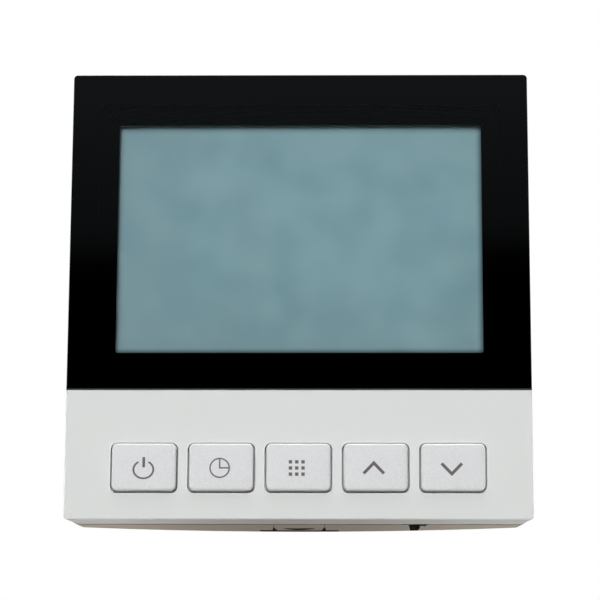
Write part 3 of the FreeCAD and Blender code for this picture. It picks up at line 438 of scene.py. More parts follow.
# ---- finishes of the outside ---------------------------------------------------------------
def underside_painted_shade(finish):
    """1 where shade is painted on the rear cover's underside: on the walls of the slots and
    notches, and on the strip behind the notches.
    """
    beside_tab = 2.7 * MM               # from the tab's side to the end of the cut in the rim
    tab_length = 4.1 * MM               # from the wall plane to the front of the notches
    beside_sensor = 1.5 * MM
    height = 2.1 * MM                   # of the recesses' walls
    back_face = 0.05 * MM               # this close to the wall plane is the cover's back
    rim_strip = 0.32 * MM               # strip left behind the notches, also given painted shadow
    wall_facing = -0.5                  # the upward part of a wall's normal is more than this
    strip_facing = -0.3                 # and that of the strip is less than this
    x, y, z = finish.point.parts()
    _, _, facing = finish.wire.node("TexCoord", output="Normal").parts()
    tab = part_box("release_tab")[1]
    sensor_low, sensor_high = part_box("room_sensor")
    near_tab = (abs(x) < tab.x + beside_tab) * (y > -tab_length)
    in_vent = (x > sensor_low.x - beside_sensor) * (x < sensor_high.x + beside_sensor)
    wall = (facing > wall_facing) * (y < -back_face)
    strip = near_tab * (y > -rim_strip) * (abs(x) > tab.x) * (facing < strip_facing)
    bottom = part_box("rear_cover")[0].z
    # Painted shade: the slot walls and the strip behind the notches are darkened where shadow falls.
    return (z < bottom + height) * (wall * near_tab.most(in_vent)).most(strip)


class THERMOSTAT_OT_shells(bpy.types.Operator):
    """Finishes the white front shell, the rear cover and the release latch."""

    bl_idname = "thermostat.shells"
    bl_label = "Shells and latch"

    def execute(self, context):
        colours = context.scene.thermostat_colours
        shell = moulded("white shell", colours.shell, roughness=0.5, grain=0.28, depth=0.005,
                        mottle=0.012, Specular_IOR_Level=0.3)
        put(shell, "front_shell")
        # The rear plastic's darker, warmer tone is painted shade, and its slot walls get painted shade
        # too.
        rear = moulded("rear plastic", colours.rear, roughness=0.55, grain=0.35, depth=0.008,
                       mottle=0.03, painted_shade_mask=underside_painted_shade, Specular_IOR_Level=0.3)
        put(rear, "rear_cover", "release_tab")
        return {"FINISHED"}


def clear_area(sizes):
    """Half width, half height and middle height of the display's clear area."""
    middle = (GASKET_LOW.z + GASKET_HIGH.z) / 2
    return GASKET_HIGH.x - sizes.clear_margin, GASKET_HIGH.z - sizes.clear_margin - middle, middle


class THERMOSTAT_OT_window(bpy.types.Operator):
    """Finishes the glossy window, clear over the display and printed black round it."""

    bl_idname = "thermostat.window"
    bl_label = "Window and print"

    def execute(self, context):
        black = context.scene.thermostat_colours.window
        self.glaze(black, context.scene.thermostat_sizes)
        ink = moulded("black print", black, roughness=0.6, grain=0.2, depth=0.003,
                      Specular_IOR_Level=0.0)
        put(ink, "window_mask")
        foam = moulded("black foam", (0.21, 0.208, 0.216), roughness=0.9, grain=0.5, depth=0.06,
                       mottle=0.2)
        put(foam, "lcd_gasket")
        return {"FINISHED"}

    def glaze(self, tone, sizes):
        """The clear sheet: only its sheen shows round the display, and black gloss further out."""
        back_skin = 0.05 * MM               # this close to the back face counts as the back
        cloud_size = 9 * MM
        thin, thick = 0.7, 1.3              # tones of the print, as shares of its colour
        finish = Finish("printed window", IOR=WINDOW_IOR)
        x, y, z = finish.point.parts()
        half_w, half_h, middle = clear_area(sizes)
        surround = (abs(x) < half_w + sizes.entry) * (abs(z - middle) < half_h + sizes.entry)
        back = y > PANEL_HIGH.y - back_skin
        sheen = finish.wire.node("Fresnel", None, {"IOR": WINDOW_IOR})
        cloud = finish.noise(cloud_size, 2.0)
        black = finish.mix(cloud, shaded(tone, thin), shaded(tone, thick))
        finish.feed("Base Color", finish.mix(surround, black, (1, 1, 1)))
        finish.feed("Metallic", surround)
        finish.feed("Roughness", 0.03 + cloud.swing(0.02))
        finish.feed("Alpha", (1.0 - surround * (1.0 - sheen)) * (1.0 - back))
        put(finish.material, "display_window")


def painted_edge_shade(sizes, x, z):
    """Painted shade: 1 in the middle of the display, falling softly towards the edges of the clear
    area, where the print's edge shades the cell.
    """
    foot_shade = 0.3 * MM               # the shade along the foot starts this far in
    curve = 1.5                         # how quickly the shade lets go
    half_w, half_h, middle = clear_area(sizes)
    # For each side: distance from it, light left at the side, and distance where light is full.
    sides = ((x + half_w, 0.62, 1.15 * MM),
             (half_w - x, 0.25, 1.2 * MM),
             (z - middle + half_h - foot_shade, 0.13, 1.15 * MM),
             (middle + half_h - z, 0.5, 1.5 * MM))
    painted_fade = 1.0
    for gap, at_edge, reach in sides:
        shade = (1.0 - (gap / reach).clamped()).power(curve)
        painted_fade = painted_fade * (1.0 - shade * (1.0 - at_edge))
    return painted_fade


# Name, tone, roughness, size and depth of the grain in millimetres, mottle and the CAD nodes.
DISPLAY_PLASTICS = (
    ("contact strip", (0.03, 0.03, 0.035), 0.7, 0.2, 0.02, 0.02, "lcd_connector"),
    ("light guide", (0.72, 0.76, 0.78), 0.2, 0.6, 0.01, 0.02, "backlight_guide"),
    ("reflector film", (0.8, 0.8, 0.78), 0.35, 0.5, 0.01, 0.02, "reflector"),
    ("lamp", (0.75, 0.7, 0.42), 0.25, 0.4, 0.01, 0.08, "backlight_leds"),
    ("holder plastic", (0.62, 0.62, 0.6), 0.5, 0.35, 0.01, 0.02, "lcd_holder"),
)


class THERMOSTAT_OT_display(bpy.types.Operator):
    """Finishes the display cell with faint clouds, and the parts that hold and light it."""

    bl_idname = "thermostat.display"
    bl_label = "Display"

    def execute(self, context):
        self.cell(context.scene.thermostat_colours, context.scene.thermostat_sizes)
        put_plastics(DISPLAY_PLASTICS)
        return {"FINISHED"}

    def cell(self, colours, sizes):
        """The switched-off cell: pale clouds, lighter towards the upper right, and painted shade at
        the edges.
        """
        cloud_size, hue_size = 9 * MM, 6 * MM
        darkest, contrast = 0.42, 2.6       # noise that gives the dim tone, and its growth from there
        sideways, lean_share = 0.5, 0.55    # how much lighter it gets to the right, and in all
        red, green, blue = colours.display
        warm, warmth = (red * 1.04, green, blue * 0.94), 0.5
        finish = Finish("display glass", IOR=1.5)
        x, _, z = finish.point.parts()
        cloud = finish.noise(cloud_size, 1.5, 0.45)
        hue = finish.noise(hue_size, 1.0, 0.4)
        lean = (x * sideways + z - GLASS_LOW.z) / (GLASS_HIGH.z - GLASS_LOW.z)
        spread = (cloud - darkest) * contrast + lean * lean_share
        tone = finish.mix(spread.clamped(), colours.display_dim, colours.display)
        tone = finish.mix(hue.clamped() * warmth, tone, warm)
        # Painted shade darkens the cell towards the edges of the clear area.
        finish.feed("Base Color", finish.mix(painted_edge_shade(sizes, x, z), (0, 0, 0), tone))
        finish.feed("Roughness", 0.16 + hue.swing(0.06))
        put(finish.material, "lcd_glass")


# ---- keys and icons ------------------------------------------------------------------------
# The rings of a key's crown: size of each against the one outside it, and its share of the swell.
CROWN_RINGS = ((0.86, 0.6), (0.8, 0.3), (0.7, 0.1))
# Rows as in DISPLAY_PLASTICS.
SWITCH_PLASTICS = (
    ("switch black", (0.02, 0.02, 0.022), 0.45, 0.3, 0.01, 0.02, *[key + "_switch" for key in KEYS]),
    ("plunger grey", (0.35, 0.35, 0.36), 0.45, 0.3, 0.01, 0.02, *[key + "_plunger" for key in KEYS]),
)


class THERMOSTAT_OT_keys(bpy.types.Operator):
    """Models a key with a soft edge, a slight crown, a rim and a stub, and copies it along the row."""

    bl_idname = "thermostat.keys"
    bl_label = "Keys"

    def execute(self, context):
        key = self.cap(context.scene.thermostat_sizes)
        material = moulded("key plastic", context.scene.thermostat_colours.key, roughness=0.28,
                           grain=0.26, depth=0.0012, mottle=0.006)
        settle(key, material, "power_key")
        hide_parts("power_button")
        for name in KEYS[1:]:
            clear_selection()
            key.select_set(True)
            context.view_layer.objects.active = key
            bpy.ops.object.duplicate(linked=False)
            copy = context.object
            copy.name = name + "_key_cap"
            copy.parent = None
            bpy.ops.transform.translate(value=key_centre(name) - key_centre(KEYS[0]))
            bpy.ops.object.transform_apply(location=True, rotation=True, scale=True)
            attach(copy, material, name + "_key")
            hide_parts(name + "_button")
        put_plastics(SWITCH_PLASTICS)
        return {"FINISHED"}

    def cap(self, sizes):
        """The power key: a bevelled block, its crown in front and its rim and stub behind."""
        low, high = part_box(KEYS[0] + "_button")
        first = key_centre(KEYS[0])
        face_w = high.x - low.x - 2 * sizes.key_rim
        face_h = high.z - low.z - 2 * sizes.key_rim + sizes.key_lift
        front = low.y + sizes.print_relief
        rim_back = high.y - sizes.key_rim_back
        rim_front = rim_back - sizes.key_rim_depth
        rim_of_face = front + sizes.key_crown
        middle = Vector((first.x, (rim_of_face + rim_front) / 2, first.z + sizes.key_lift / 2))
        clear_selection()
        bpy.ops.mesh.primitive_cube_add(size=1, location=middle)
        bpy.context.object.scale = (face_w, rim_front - rim_of_face, face_h)
        key = begin("power_key_cap")
        pick("EDGE", lambda centre, run: abs(run.y) > ALONG)
        bpy.ops.mesh.bevel(offset=sizes.key_corner, segments=8, affect="EDGES", offset_type="OFFSET")
        pick("EDGE", lambda centre, run: centre.y < rim_of_face + TINY)
        bpy.ops.mesh.bevel(offset=sizes.key_edge, segments=6, affect="EDGES", offset_type="OFFSET")
        pick("FACE", lambda centre, normal: normal.y < -ALONG and centre.y < rim_of_face + TINY)
        for scale, share in CROWN_RINGS:
            bpy.ops.mesh.extrude_region_move()
            grow(scale, scale, middle)
            bpy.ops.transform.translate(value=(0, -sizes.key_crown * share, 0))
        pick("FACE", lambda centre, normal: normal.y > ALONG and centre.y > rim_front - TINY)
        bpy.ops.mesh.extrude_region_move()
        rim_h = high.z - low.z - sizes.key_lift
        grow((face_w + 2 * sizes.key_rim) / face_w, rim_h / face_h, middle)
        bpy.ops.mesh.extrude_region_move(TRANSFORM_OT_translate={"value": (0, sizes.key_rim_depth, 0)})
        bpy.ops.mesh.extrude_region_move()
        grow(sizes.stub / (high.x - low.x), sizes.stub / (high.z - low.z), middle)
        bpy.ops.mesh.extrude_region_move(TRANSFORM_OT_translate={"value": (0, sizes.key_rim_back, 0)})
        return key


# How far right of and above its key's middle an icon is printed, in millimetres.
ICON_SHIFTS = {
    "power": (-0.08, -0.55),
    "clock": (-0.26, -0.23),
    "menu": (-0.3, -0.24),
    "up": (-0.36, -0.27),
    "down": (-0.25, -0.35),
}
RING_CORNERS = 72


def icon_centre(key):
    """Where the middle of a key's icon lies."""
    right, up = ICON_SHIFTS[key]
    return key_centre(key) + Vector((right * MM, 0, up * MM))


def icon_material(context):
    """Pad-printed ink of slightly uneven tone and gloss. All the icons share it."""
    material = bpy.data.materials.get("printed ink")
    if material:
        return material
    speck_size, speck_depth = 0.18 * MM, 0.004 * MM
    uneven = 0.15
    finish = Finish("printed ink")
    tone = context.scene.thermostat_colours.icon
    speck = finish.noise(speck_size, 3.0)
    finish.feed("Base Color", finish.mix(speck, shaded(tone, 1 - uneven), shaded(tone, 1 + uneven)))
    finish.feed("Roughness", 0.45 + speck.swing(0.2))
    finish.feed("Normal", finish.bump(speck, speck_depth, strength=0.6))
    return finish.material


def finish_icon(context, icon, key):
    """Gives a flat icon its thickness, back into the key, and puts it on the key's body."""
    sizes = context.scene.thermostat_sizes
    if bpy.context.mode != "EDIT_MESH":
        bpy.ops.object.mode_set(mode="EDIT")
    bpy.ops.mesh.select_all(action="SELECT")
    bpy.ops.mesh.remove_doubles(threshold=TINY)
    bpy.ops.mesh.normals_make_consistent(inside=False)
    bpy.ops.mesh.select_mode(type="FACE")
    mesh = bmesh.from_edit_mesh(icon.data)
    for face in mesh.faces:
        face.select_set(face.normal.y > 0)
    bpy.ops.mesh.flip_normals()
    apply_modifier(icon, "SOLIDIFY", thickness=sizes.print_depth, offset=-1)
    bpy.ops.object.mode_set(mode="EDIT")
    settle(icon, icon_material(context), key + "_key")


def ring_faces(centre, radius, stroke):
    """Adds a flat ring to the open icon. The radius is to the middle of its stroke."""
    inner, outer = radius - stroke / 2, radius + stroke / 2
    bpy.ops.mesh.select_all(action="DESELECT")
    bpy.ops.mesh.primitive_circle_add(vertices=RING_CORNERS, radius=inner, location=centre,
                                      rotation=STANDING)
    bpy.ops.mesh.extrude_region_move()
    grow(outer / inner, outer / inner, centre)


def bar_faces(centre, width, height):
    """Adds a flat bar to the open icon."""
    bpy.ops.mesh.select_all(action="DESELECT")
    bpy.ops.mesh.primitive_plane_add(size=1, location=centre, rotation=STANDING)
    grow(width, height, centre)


def open_icon(name, centre):
    """Starts an empty icon and leaves it open for editing."""
    clear_selection()
    bpy.ops.mesh.primitive_plane_add(size=1, location=centre)
    icon = begin(name)
    bpy.ops.mesh.delete(type="VERT")
    return icon


class THERMOSTAT_OT_power_icon(bpy.types.Operator):
    """Models the ring and bar on the power key."""

    bl_idname = "thermostat.power_icon"
    bl_label = "Power icon"

    def execute(self, context):
        sizes = context.scene.thermostat_sizes
        centre = icon_centre("power")
        icon = open_icon("power_icon", centre)
        ring_faces(centre, sizes.power_ring, sizes.power_stroke)
        bpy.ops.mesh.select_all(action="SELECT")
        grow(1, sizes.power_ring_squash, centre)

        def in_gap(spot, normal):
            return abs(math.atan2(spot.x - centre.x, spot.z - centre.z)) < sizes.power_gap

        pick("FACE", in_gap)
        bpy.ops.mesh.delete(type="FACE")
        top, foot = sizes.power_bar_top, sizes.power_bar_foot
        bar = centre + Vector((sizes.power_bar_right, 0, (top + foot) / 2))
        bar_faces(bar, sizes.power_bar, top - foot)
        finish_icon(context, icon, "power")
        return {"FINISHED"}


class THERMOSTAT_OT_clock_icon(bpy.types.Operator):
    """Models the ring and the two hands on the clock key."""

    bl_idname = "thermostat.clock_icon"
    bl_label = "Clock icon"

    def execute(self, context):
        sizes = context.scene.thermostat_sizes
        centre = icon_centre("clock")
        icon = open_icon("clock_icon", centre)
        ring_faces(centre, sizes.clock_ring, sizes.clock_stroke)
        reach = sizes.clock_ring
        stroke = sizes.clock_stroke
        bar_faces(centre + Vector((0, 0, (reach - stroke) / 2)), stroke, reach)
        bar_faces(centre + Vector((reach / 2, 0, 0)), reach - stroke, stroke)
        finish_icon(context, icon, "clock")
        return {"FINISHED"}


class THERMOSTAT_OT_menu_icon(bpy.types.Operator):
    """Models the nine dots on the menu key."""

    bl_idname = "thermostat.menu_icon"
    bl_label = "Menu icon"

    def execute(self, context):
        sizes = context.scene.thermostat_sizes
        pitch = sizes.dot_pitch
        centre = icon_centre("menu")
        icon = open_icon("menu_icon", centre)
        bar_faces(centre - Vector((pitch, 0, pitch)), sizes.dot, sizes.dot)
        for axis in ((1, 0, 0), (0, 0, 1)):
            apply_modifier(icon, "ARRAY", count=3, use_relative_offset=False, use_constant_offset=True,
                           constant_offset_displace=[pitch * share for share in axis])
        finish_icon(context, icon, "menu")
        return {"FINISHED"}


class THERMOSTAT_OT_arrow_icons(bpy.types.Operator):
    """Models the arrow on the up key and a turned copy on the down key."""

    bl_idname = "thermostat.arrow_icons"
    bl_label = "Arrow icons"

    def execute(self, context):
        sizes = context.scene.thermostat_sizes
        slope = sizes.arrow_slope
        stroke = sizes.arrow_stroke
        run = sizes.arrow_width / 2 - stroke * math.sin(slope) / 2
        rise = run * math.tan(slope)
        for name, turn in (("up", 1), ("down", -1)):
            centre = icon_centre(name)
            icon = open_icon(name + "_icon", centre)
            apex = centre + Vector((0, 0, turn * rise / 2))
            bar_faces(apex, 4 * run, stroke)
            bpy.ops.transform.rotate(value=-turn * slope, orient_axis="Y", center_override=apex)
            end = centre + Vector((run, 0, -turn * rise / 2))
            self.trim(centre, (-1, 0, 0))
            self.trim(end, (math.cos(slope), 0, -turn * math.sin(slope)))
            apply_modifier(icon, "MIRROR", use_axis=(True, False, False))
            finish_icon(context, icon, name)
        return {"FINISHED"}

    def trim(self, spot, way):
        """Cuts the open icon at a plane and clears what lies beyond it."""
        bpy.ops.mesh.select_all(action="SELECT")
        bpy.ops.mesh.bisect(plane_co=spot, plane_no=way, clear_outer=True)


# ---- finishes of the inside and the back ---------------------------------------------------
def circuit_board():
    """Green solder mask over copper tracks and ground areas, with tinned pads."""
    green, tin = (0.012, 0.085, 0.032), (0.62, 0.62, 0.6)
    cell_size, track_width = 5 * MM, 0.07       # the width is a share of a cell
    half_pitch, half_pad = 1.27 * MM, 0.3 * MM
    patch_size, patch_level = 6 * MM, 0.56      # pads show where this noise is above the level
    haze_size = 3 * MM
    track_tone = 2.2                            # against the mask's own tone
    pad_metal = 0.9
    track_relief, pad_relief, relief = 0.6, 0.8, 0.03 * MM
    finish = Finish("circuit board", IOR=1.5)
    x, _, z = finish.point.parts()
    cells = finish.wire.node("TexVoronoi", {"feature": "DISTANCE_TO_EDGE"},
                             {"Vector": finish.point, "Scale": 1 / cell_size}, "Distance")
    tracks = cells < track_width
    grid_x = finish.wire.math("PINGPONG", x, half_pitch)
    grid_z = finish.wire.math("PINGPONG", z, half_pitch)
    patch = finish.noise(patch_size, 1.0) > patch_level
    pads = (grid_x < half_pad) * (grid_z < half_pad) * patch
    mask = finish.mix(tracks, green, shaded(green, track_tone))
    finish.feed("Base Color", finish.mix(pads, mask, tin))
    finish.feed("Metallic", pads * pad_metal)
    finish.feed("Roughness", 0.32 + finish.noise(haze_size).swing(0.15))
    raised = tracks * track_relief + pads * pad_relief
    finish.feed("Normal", finish.bump(raised, relief, strength=0.7))
    return finish.material


# Rows as in DISPLAY_PLASTICS.
PART_PLASTICS = (
    ("black epoxy", (0.016, 0.016, 0.017), 0.38, 0.2, 0.006, 0.02, "microcontroller"),
    ("header black", (0.018, 0.018, 0.02), 0.5, 0.3, 0.01, 0.02, "pin_header", "board_socket"),
    ("sensor bead", (0.02, 0.02, 0.022), 0.3, 0.4, 0.02, 0.02, "room_sensor"),
    ("relay case", (0.03, 0.09, 0.24), 0.4, 0.4, 0.01, 0.02, "relay"),
    ("capacitor sleeve", (0.018, 0.025, 0.06), 0.3, 0.4, 0.006, 0.06, "capacitors"),
    ("varistor coat", (0.04, 0.14, 0.3), 0.35, 0.3, 0.03, 0.1, "varistor"),
    ("fuse case", (0.05, 0.05, 0.05), 0.4, 0.3, 0.01, 0.02, "fuse"),
)


class THERMOSTAT_OT_electronics(bpy.types.Operator):
    """Finishes the circuit boards and the parts on them."""

    bl_idname = "thermostat.electronics"
    bl_label = "Electronics"

    def execute(self, context):
        put(circuit_board(), "control_board", "power_board")
        crystal = brushed_metal("crystal case", (0.72, 0.71, 0.68), roughness=0.25)
        put(crystal, "clock_crystal", "battery_clip")
        battery = brushed_metal("battery case", (0.66, 0.66, 0.65), roughness=0.28, drawn=False,
                                size=0.5)
        put(battery, "backup_battery")
        gold = brushed_metal("gold pin", (0.83, 0.62, 0.27), roughness=0.22)
        put(gold, "header_pins", "terminal_pins")
        put_plastics(PART_PLASTICS)
        self.transformer()
        return {"FINISHED"}

    def transformer(self):
        """Stacked steel plates with yellow tape round the middle half."""
        seam, steel = (0.05, 0.05, 0.052), (0.2, 0.2, 0.21)
        dull_tape, bright_tape = (0.55, 0.36, 0.03), (0.66, 0.45, 0.06)
        half_plate, relief = 0.25 * MM, 0.05 * MM
        cloud_size, steel_metal = 2 * MM, 0.8
        finish = Finish("transformer")
        _, y, z = finish.point.parts()
        low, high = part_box("transformer")
        plates = finish.wire.math("PINGPONG", y, half_plate) / half_plate
        tape = abs(z - (low.z + high.z) / 2) < (high.z - low.z) / 4
        cloud = finish.noise(cloud_size)
        stack = finish.mix(plates, seam, steel)
        wrap = finish.mix(cloud, dull_tape, bright_tape)
        finish.feed("Base Color", finish.mix(tape, stack, wrap))
        finish.feed("Metallic", (1.0 - tape) * steel_metal)
        finish.feed("Roughness", 0.4 + cloud.swing(0.2))
        finish.feed("Normal", finish.bump(plates * (1.0 - tape), relief, strength=0.7))
        put(finish.material, "transformer")


class THERMOSTAT_OT_wall_frame(bpy.types.Operator):
    """Finishes the galvanised mounting frame and all the plated screws."""

    bl_idname = "thermostat.wall_frame"
    bl_label = "Mounting frame and screws"

    def execute(self, context):
        self.galvanise()
        zinc = brushed_metal("zinc screws", (0.60, 0.61, 0.62), roughness=0.28, drawn=False,
                             size=0.4, spots=0.06)
        put(zinc, "cover_screws", "board_screws", "frame_screws", "power_board_screws",
            "terminal_screws")
        return {"FINISHED"}

    def galvanise(self):
        """Zinc in faint grey spangles, dulled in clouds and scratched sideways."""
        dark, light, dull = (0.51, 0.522, 0.535), (0.665, 0.675, 0.685), (0.42, 0.43, 0.44)
        spangle_size, cloud_size, scratch_size = 1.7 * MM, 7 * MM, 0.3 * MM
        dulling, grey_gloss, scratch_gloss = 0.35, 0.08, 0.12
        grey_relief, relief = 0.2, 0.004 * MM
        finish = Finish("galvanised steel", Metallic=1.0)
        cells = {"Vector": finish.point, "Scale": 1 / spangle_size, "Randomness": 1.0}
        spangle = finish.wire.node("TexVoronoi", {"feature": "F1"}, cells, "Color")
        grey = finish.wire.node("SeparateColor", None, {0: spangle})
        cloud = finish.noise(cloud_size, 3.0)
        scratch = finish.noise(scratch_size, 3.0, stretch=(0.06, 1, 1.4))
        tone = finish.mix(grey, dark, light)
        finish.feed("Base Color", finish.mix(cloud * dulling, tone, dull))
        finish.feed("Roughness", 0.38 + grey * grey_gloss + scratch.swing(scratch_gloss))
        finish.feed("Normal", finish.bump(scratch + grey * grey_relief, relief, strength=0.5))
        put(finish.material, "mounting_frame")


class THERMOSTAT_OT_power_box(bpy.types.Operator):
    """Finishes the plastic housing in the wall, the terminal block and its brass clamps."""

    bl_idname = "thermostat.power_box"
    bl_label = "Power box and terminals"

    def execute(self, context):
        colours = context.scene.thermostat_colours
        put_plastics((
            ("housing plastic", colours.housing, 0.5, 0.45, 0.02, 0.03, "power_housing"),
            ("terminal plastic", colours.terminals, 0.4, 0.4, 0.012, 0.06, "terminal_block"),
        ))
        brass = brushed_metal("brass clamps", (0.78, 0.60, 0.30), roughness=0.3, drawn=False,
                              size=0.4, spots=0.05)
        put(brass, "terminal_clamps")
        return {"FINISHED"}


# ---- stage ---------------------------------------------------------------------------------
FLOOR_SIZE = 14
FLOOR_HEIGHT = -1.05
FLOOR_GLOW = 1.12                   # the floor's own light where it is seen, mixed in by the share
FLOOR_GLOW_SHARE = 0.88
CARD_GLOW = 20.0                    # strength of the bright card
LOW_LAMP_SIZE = 15 * MM
LOW_LAMP_ACROSS = 41 * MM
LOW_LAMP_Y = -9 * MM
LOW_LAMP_DROP = 54 * MM             # below the window's foot
BEAM = math.radians(45)             # spread of a large lamp, and of a low one
WIDE_BEAM = FULL_TURN / 2
SENSOR_WIDTH = 36
NEAREST = 0.01                      # closest that the camera sees
# The grey card brightens from one height to the other, and leans a little to the right.
GREY_FOOT, GREY_TOP = 0.43, 0.63
GREY_LEAN = 0.02
GREY_TINT = (0.92, 1.06, 1.12)
GREY_STOPS = ((0.0, 0.0), (0.08, 0.01), (0.14, 0.06), (0.2, 0.088), (0.3, 0.105), (0.5, 0.13),
              (0.72, 0.17), (1.0, 0.2))


def lamp(name, spot, target, size, watts, spread=BEAM, mirrored=False):
    """A soft square lamp that points at the target, and is mirrored in gloss or not."""
    data = bpy.data.lights.new(name, "AREA")
    data.shape = "SQUARE"
    data.size = size
    data.energy = watts
    data.spread = spread
    holder = bpy.data.objects.new(name, data)
    bpy.context.scene.collection.objects.link(holder)
    holder.location = spot
    holder.rotation_euler = (Vector(target) - Vector(spot)).to_track_quat("-Z", "Y").to_euler()
    holder.visible_camera = False
    holder.visible_glossy = mirrored


def seen_directly(wire):
    """1 for camera, glossy and transmission rays."""
    outputs = wire.node("LightPath").socket.node.outputs
    camera, glossy, through = (Wire(wire.tree, outputs["Is " + ray + " Ray"])
                               for ray in ("Camera", "Glossy", "Transmission"))
    return camera.most(glossy).most(through)


def grey_tone(wire):
    """Grey that brightens upwards."""
    x, _, z = wire.node("TexCoord", output="Object").parts()
    along = (z - x * GREY_LEAN - GREY_FOOT) / (GREY_TOP - GREY_FOOT)
    stops = [(spot, opaque(shaded(GREY_TINT, level))) for spot, level in GREY_STOPS]
    return wire.node("ValToRGB", {"stops": stops}, {0: along})


def glowing(name, strength, tone=None):
    """A material that only gives light. A tone, if there is one, makes its colour from a wire."""
    material = bpy.data.materials.new(name)
    material.use_nodes = True
    tree = material.node_tree
    tree.nodes.remove(tree.nodes["Principled BSDF"])
    sockets = {"Strength": strength}
    if tone:
        sockets["Color"] = tone(Wire(tree))
    glow = Wire(tree).node("Emission", None, sockets)
    tree.links.new(glow.socket, tree.nodes["Material Output"].inputs["Surface"])
    return material


def stage_plane(name, material, spot, width, height, turn):
    """Adds a flat plane to the stage."""
    clear_selection()
    bpy.ops.mesh.primitive_plane_add(size=1, location=spot, rotation=turn)
    piece = bpy.context.object
    piece.name = name
    piece.scale = (width, height, 1)
    bpy.ops.object.transform_apply(location=True, rotation=True, scale=True)
    piece.data.materials.append(material)
    return piece


def card(name, material, spot, width, height, turn):
    """Adds a studio card, which only glossy rays see."""
    piece = stage_plane(name, material, spot, width, height, turn)
    for ray in ("camera", "diffuse", "transmission", "volume_scatter", "shadow"):
        setattr(piece, "visible_" + ray, False)


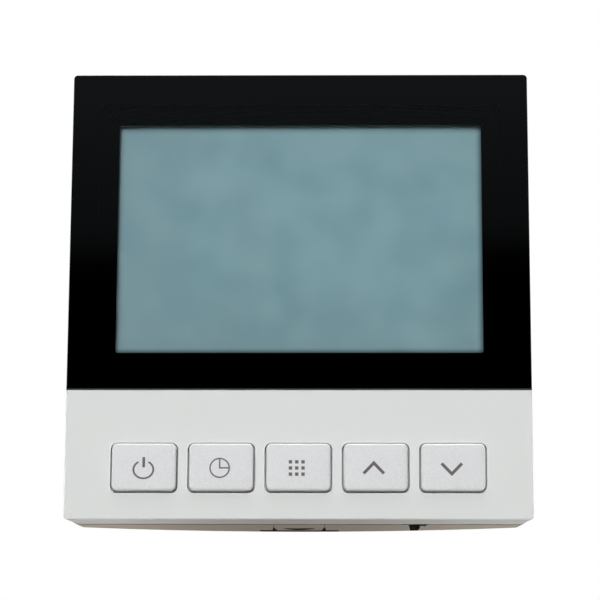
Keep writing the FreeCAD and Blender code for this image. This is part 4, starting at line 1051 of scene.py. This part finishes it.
class THERMOSTAT_OT_stage(bpy.types.Operator):
    """Sets up the floor, the studio cards, the lamps, the world and the camera."""

    bl_idname = "thermostat.stage"
    bl_label = "Stage"

    def execute(self, context):
        studio = context.scene.thermostat_studio
        context.scene.view_settings.view_transform = "Standard"
        self.floor(context.scene.thermostat_colours.floor)
        self.cards()
        self.world(context.scene, studio.ambient)
        self.lamps(studio)
        self.camera(context.scene, studio)
        return {"FINISHED"}

    def floor(self, tone):
        """A pale floor far below, which keeps the object's shadow."""
        material = bpy.data.materials.new("floor")
        material.use_nodes = True
        tree = material.node_tree
        shader = tree.nodes["Principled BSDF"]
        shader.inputs["Base Color"].default_value = opaque(tone)
        shader.inputs["Roughness"].default_value = 0.8
        wire = Wire(tree)
        glow = wire.node("Emission", None, {"Color": (1, 1, 1, 1), "Strength": FLOOR_GLOW})
        share = seen_directly(wire) * FLOOR_GLOW_SHARE
        mixed = wire.node("MixShader", None, {0: share, 1: Wire(tree, shader.outputs[0]), 2: glow})
        tree.links.new(mixed.socket, tree.nodes["Material Output"].inputs["Surface"])
        stage_plane("floor", material, (0, 0, FLOOR_HEIGHT), FLOOR_SIZE, FLOOR_SIZE, LYING)

    def cards(self):
        """A large black card in front, a bright one overhead and a dim grey one above the camera."""
        black = glowing("black card", 0.0)
        card("black_card", black, (0, -2.6, 0.4), width=9, height=9, turn=STANDING)
        bright = glowing("bright card", CARD_GLOW)
        card("bright_card", bright, (0, -0.3, 1.85), width=1.0, height=0.5, turn=LYING)
        grey = glowing("grey card", 1.0, grey_tone)
        card("grey_card", grey, (0, -1.5, 0.83), width=2.4, height=0.8, turn=STANDING)

    def world(self, scene, ambient):
        """White where it is seen, and a plain soft light where it is not."""
        world = scene.world or bpy.data.worlds.new("studio")
        scene.world = world
        world.use_nodes = True
        tree = world.node_tree
        wire = Wire(tree)
        strength = ambient + seen_directly(wire) * (1.0 - ambient)
        wire.feed(tree.nodes["Background"].inputs["Color"], (1, 1, 1, 1))
        wire.feed(tree.nodes["Background"].inputs["Strength"], strength)

    def lamps(self, studio):
        """Large lamps in front, overhead, behind and at the sides, and small ones below the corners."""
        panel = (0, PANEL_LOW.y, 0)
        lamp("front lamp", (-0.28, -1.95, 0.3), panel, size=1.3, watts=studio.front_power)
        lamp("top lamp", (0, -0.6, 1.85), panel, size=0.9, watts=studio.top_power)
        lamp("rear lamp", (0.5, 1.9, 1.1), panel, size=1.2, watts=studio.rear_power)
        for side in (-1, 1):
            beside = (side * 2, 0.25, 0.5)
            lamp("side lamp", beside, panel, size=1.0, watts=studio.side_power, mirrored=True)
            spot = Vector((side * LOW_LAMP_ACROSS, LOW_LAMP_Y, PANEL_LOW.z - LOW_LAMP_DROP))
            above = spot + Vector((0, 0, 1))
            lamp("low lamp", spot, above, LOW_LAMP_SIZE, studio.low_power, WIDE_BEAM)

    def camera(self, scene, studio):
        """Looks up at the panel from just below its axis."""
        across, rise = studio.azimuth, studio.elevation
        flat = math.cos(rise)
        back = Vector((math.sin(across) * flat, -math.cos(across) * flat, math.sin(rise)))
        level = Vector((math.cos(across), math.sin(across), 0))
        upright = back.cross(level)
        cos, sin = math.cos(studio.roll), math.sin(studio.roll)
        right = cos * level + sin * upright
        up = cos * upright - sin * level
        data = bpy.data.cameras.new("camera")
        data.lens = studio.lens
        data.sensor_width = SENSOR_WIDTH
        data.clip_start = NEAREST
        holder = bpy.data.objects.new("camera", data)
        scene.collection.objects.link(holder)
        turn = Matrix((right, up, back)).transposed().to_4x4()
        holder.matrix_world = Matrix.Translation(Vector(studio.aim) + back * studio.distance) @ turn
        scene.camera = holder


class THERMOSTAT_PT_panel(bpy.types.Panel):
    """Lists the pieces of the thermostat in the sidebar."""

    bl_label = "Wall thermostat"
    bl_idname = "THERMOSTAT_PT_panel"
    bl_space_type = "VIEW_3D"
    bl_region_type = "UI"
    bl_category = "Thermostat"

    def draw(self, context):
        for name in GROUPS:
            box = self.layout.box()
            group = getattr(context.scene, name)
            for label in group.__annotations__:
                box.prop(group, label)
        for step in STEPS:
            self.layout.operator(step.bl_idname)


GROUPS = {
    "thermostat_sizes": ThermostatSizes,
    "thermostat_colours": ThermostatColours,
    "thermostat_studio": ThermostatStudio,
}
STEPS = (
    THERMOSTAT_OT_shells,
    THERMOSTAT_OT_window,
    THERMOSTAT_OT_display,
    THERMOSTAT_OT_keys,
    THERMOSTAT_OT_power_icon,
    THERMOSTAT_OT_clock_icon,
    THERMOSTAT_OT_menu_icon,
    THERMOSTAT_OT_arrow_icons,
    THERMOSTAT_OT_electronics,
    THERMOSTAT_OT_wall_frame,
    THERMOSTAT_OT_power_box,
    THERMOSTAT_OT_stage,
)


def register():
    for kind in (*GROUPS.values(), *STEPS, THERMOSTAT_PT_panel):
        bpy.utils.register_class(kind)
    for name, kind in GROUPS.items():
        setattr(bpy.types.Scene, name, PointerProperty(type=kind))


def unregister():
    for name in GROUPS:
        delattr(bpy.types.Scene, name)
    for kind in reversed((*GROUPS.values(), *STEPS, THERMOSTAT_PT_panel)):
        bpy.utils.unregister_class(kind)


def main():
    """Registers the add-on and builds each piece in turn."""
    register()
    for step in STEPS:
        group, name = step.bl_idname.split(".")
        getattr(getattr(bpy.ops, group), name)()


if __name__ == "__main__":
    main()
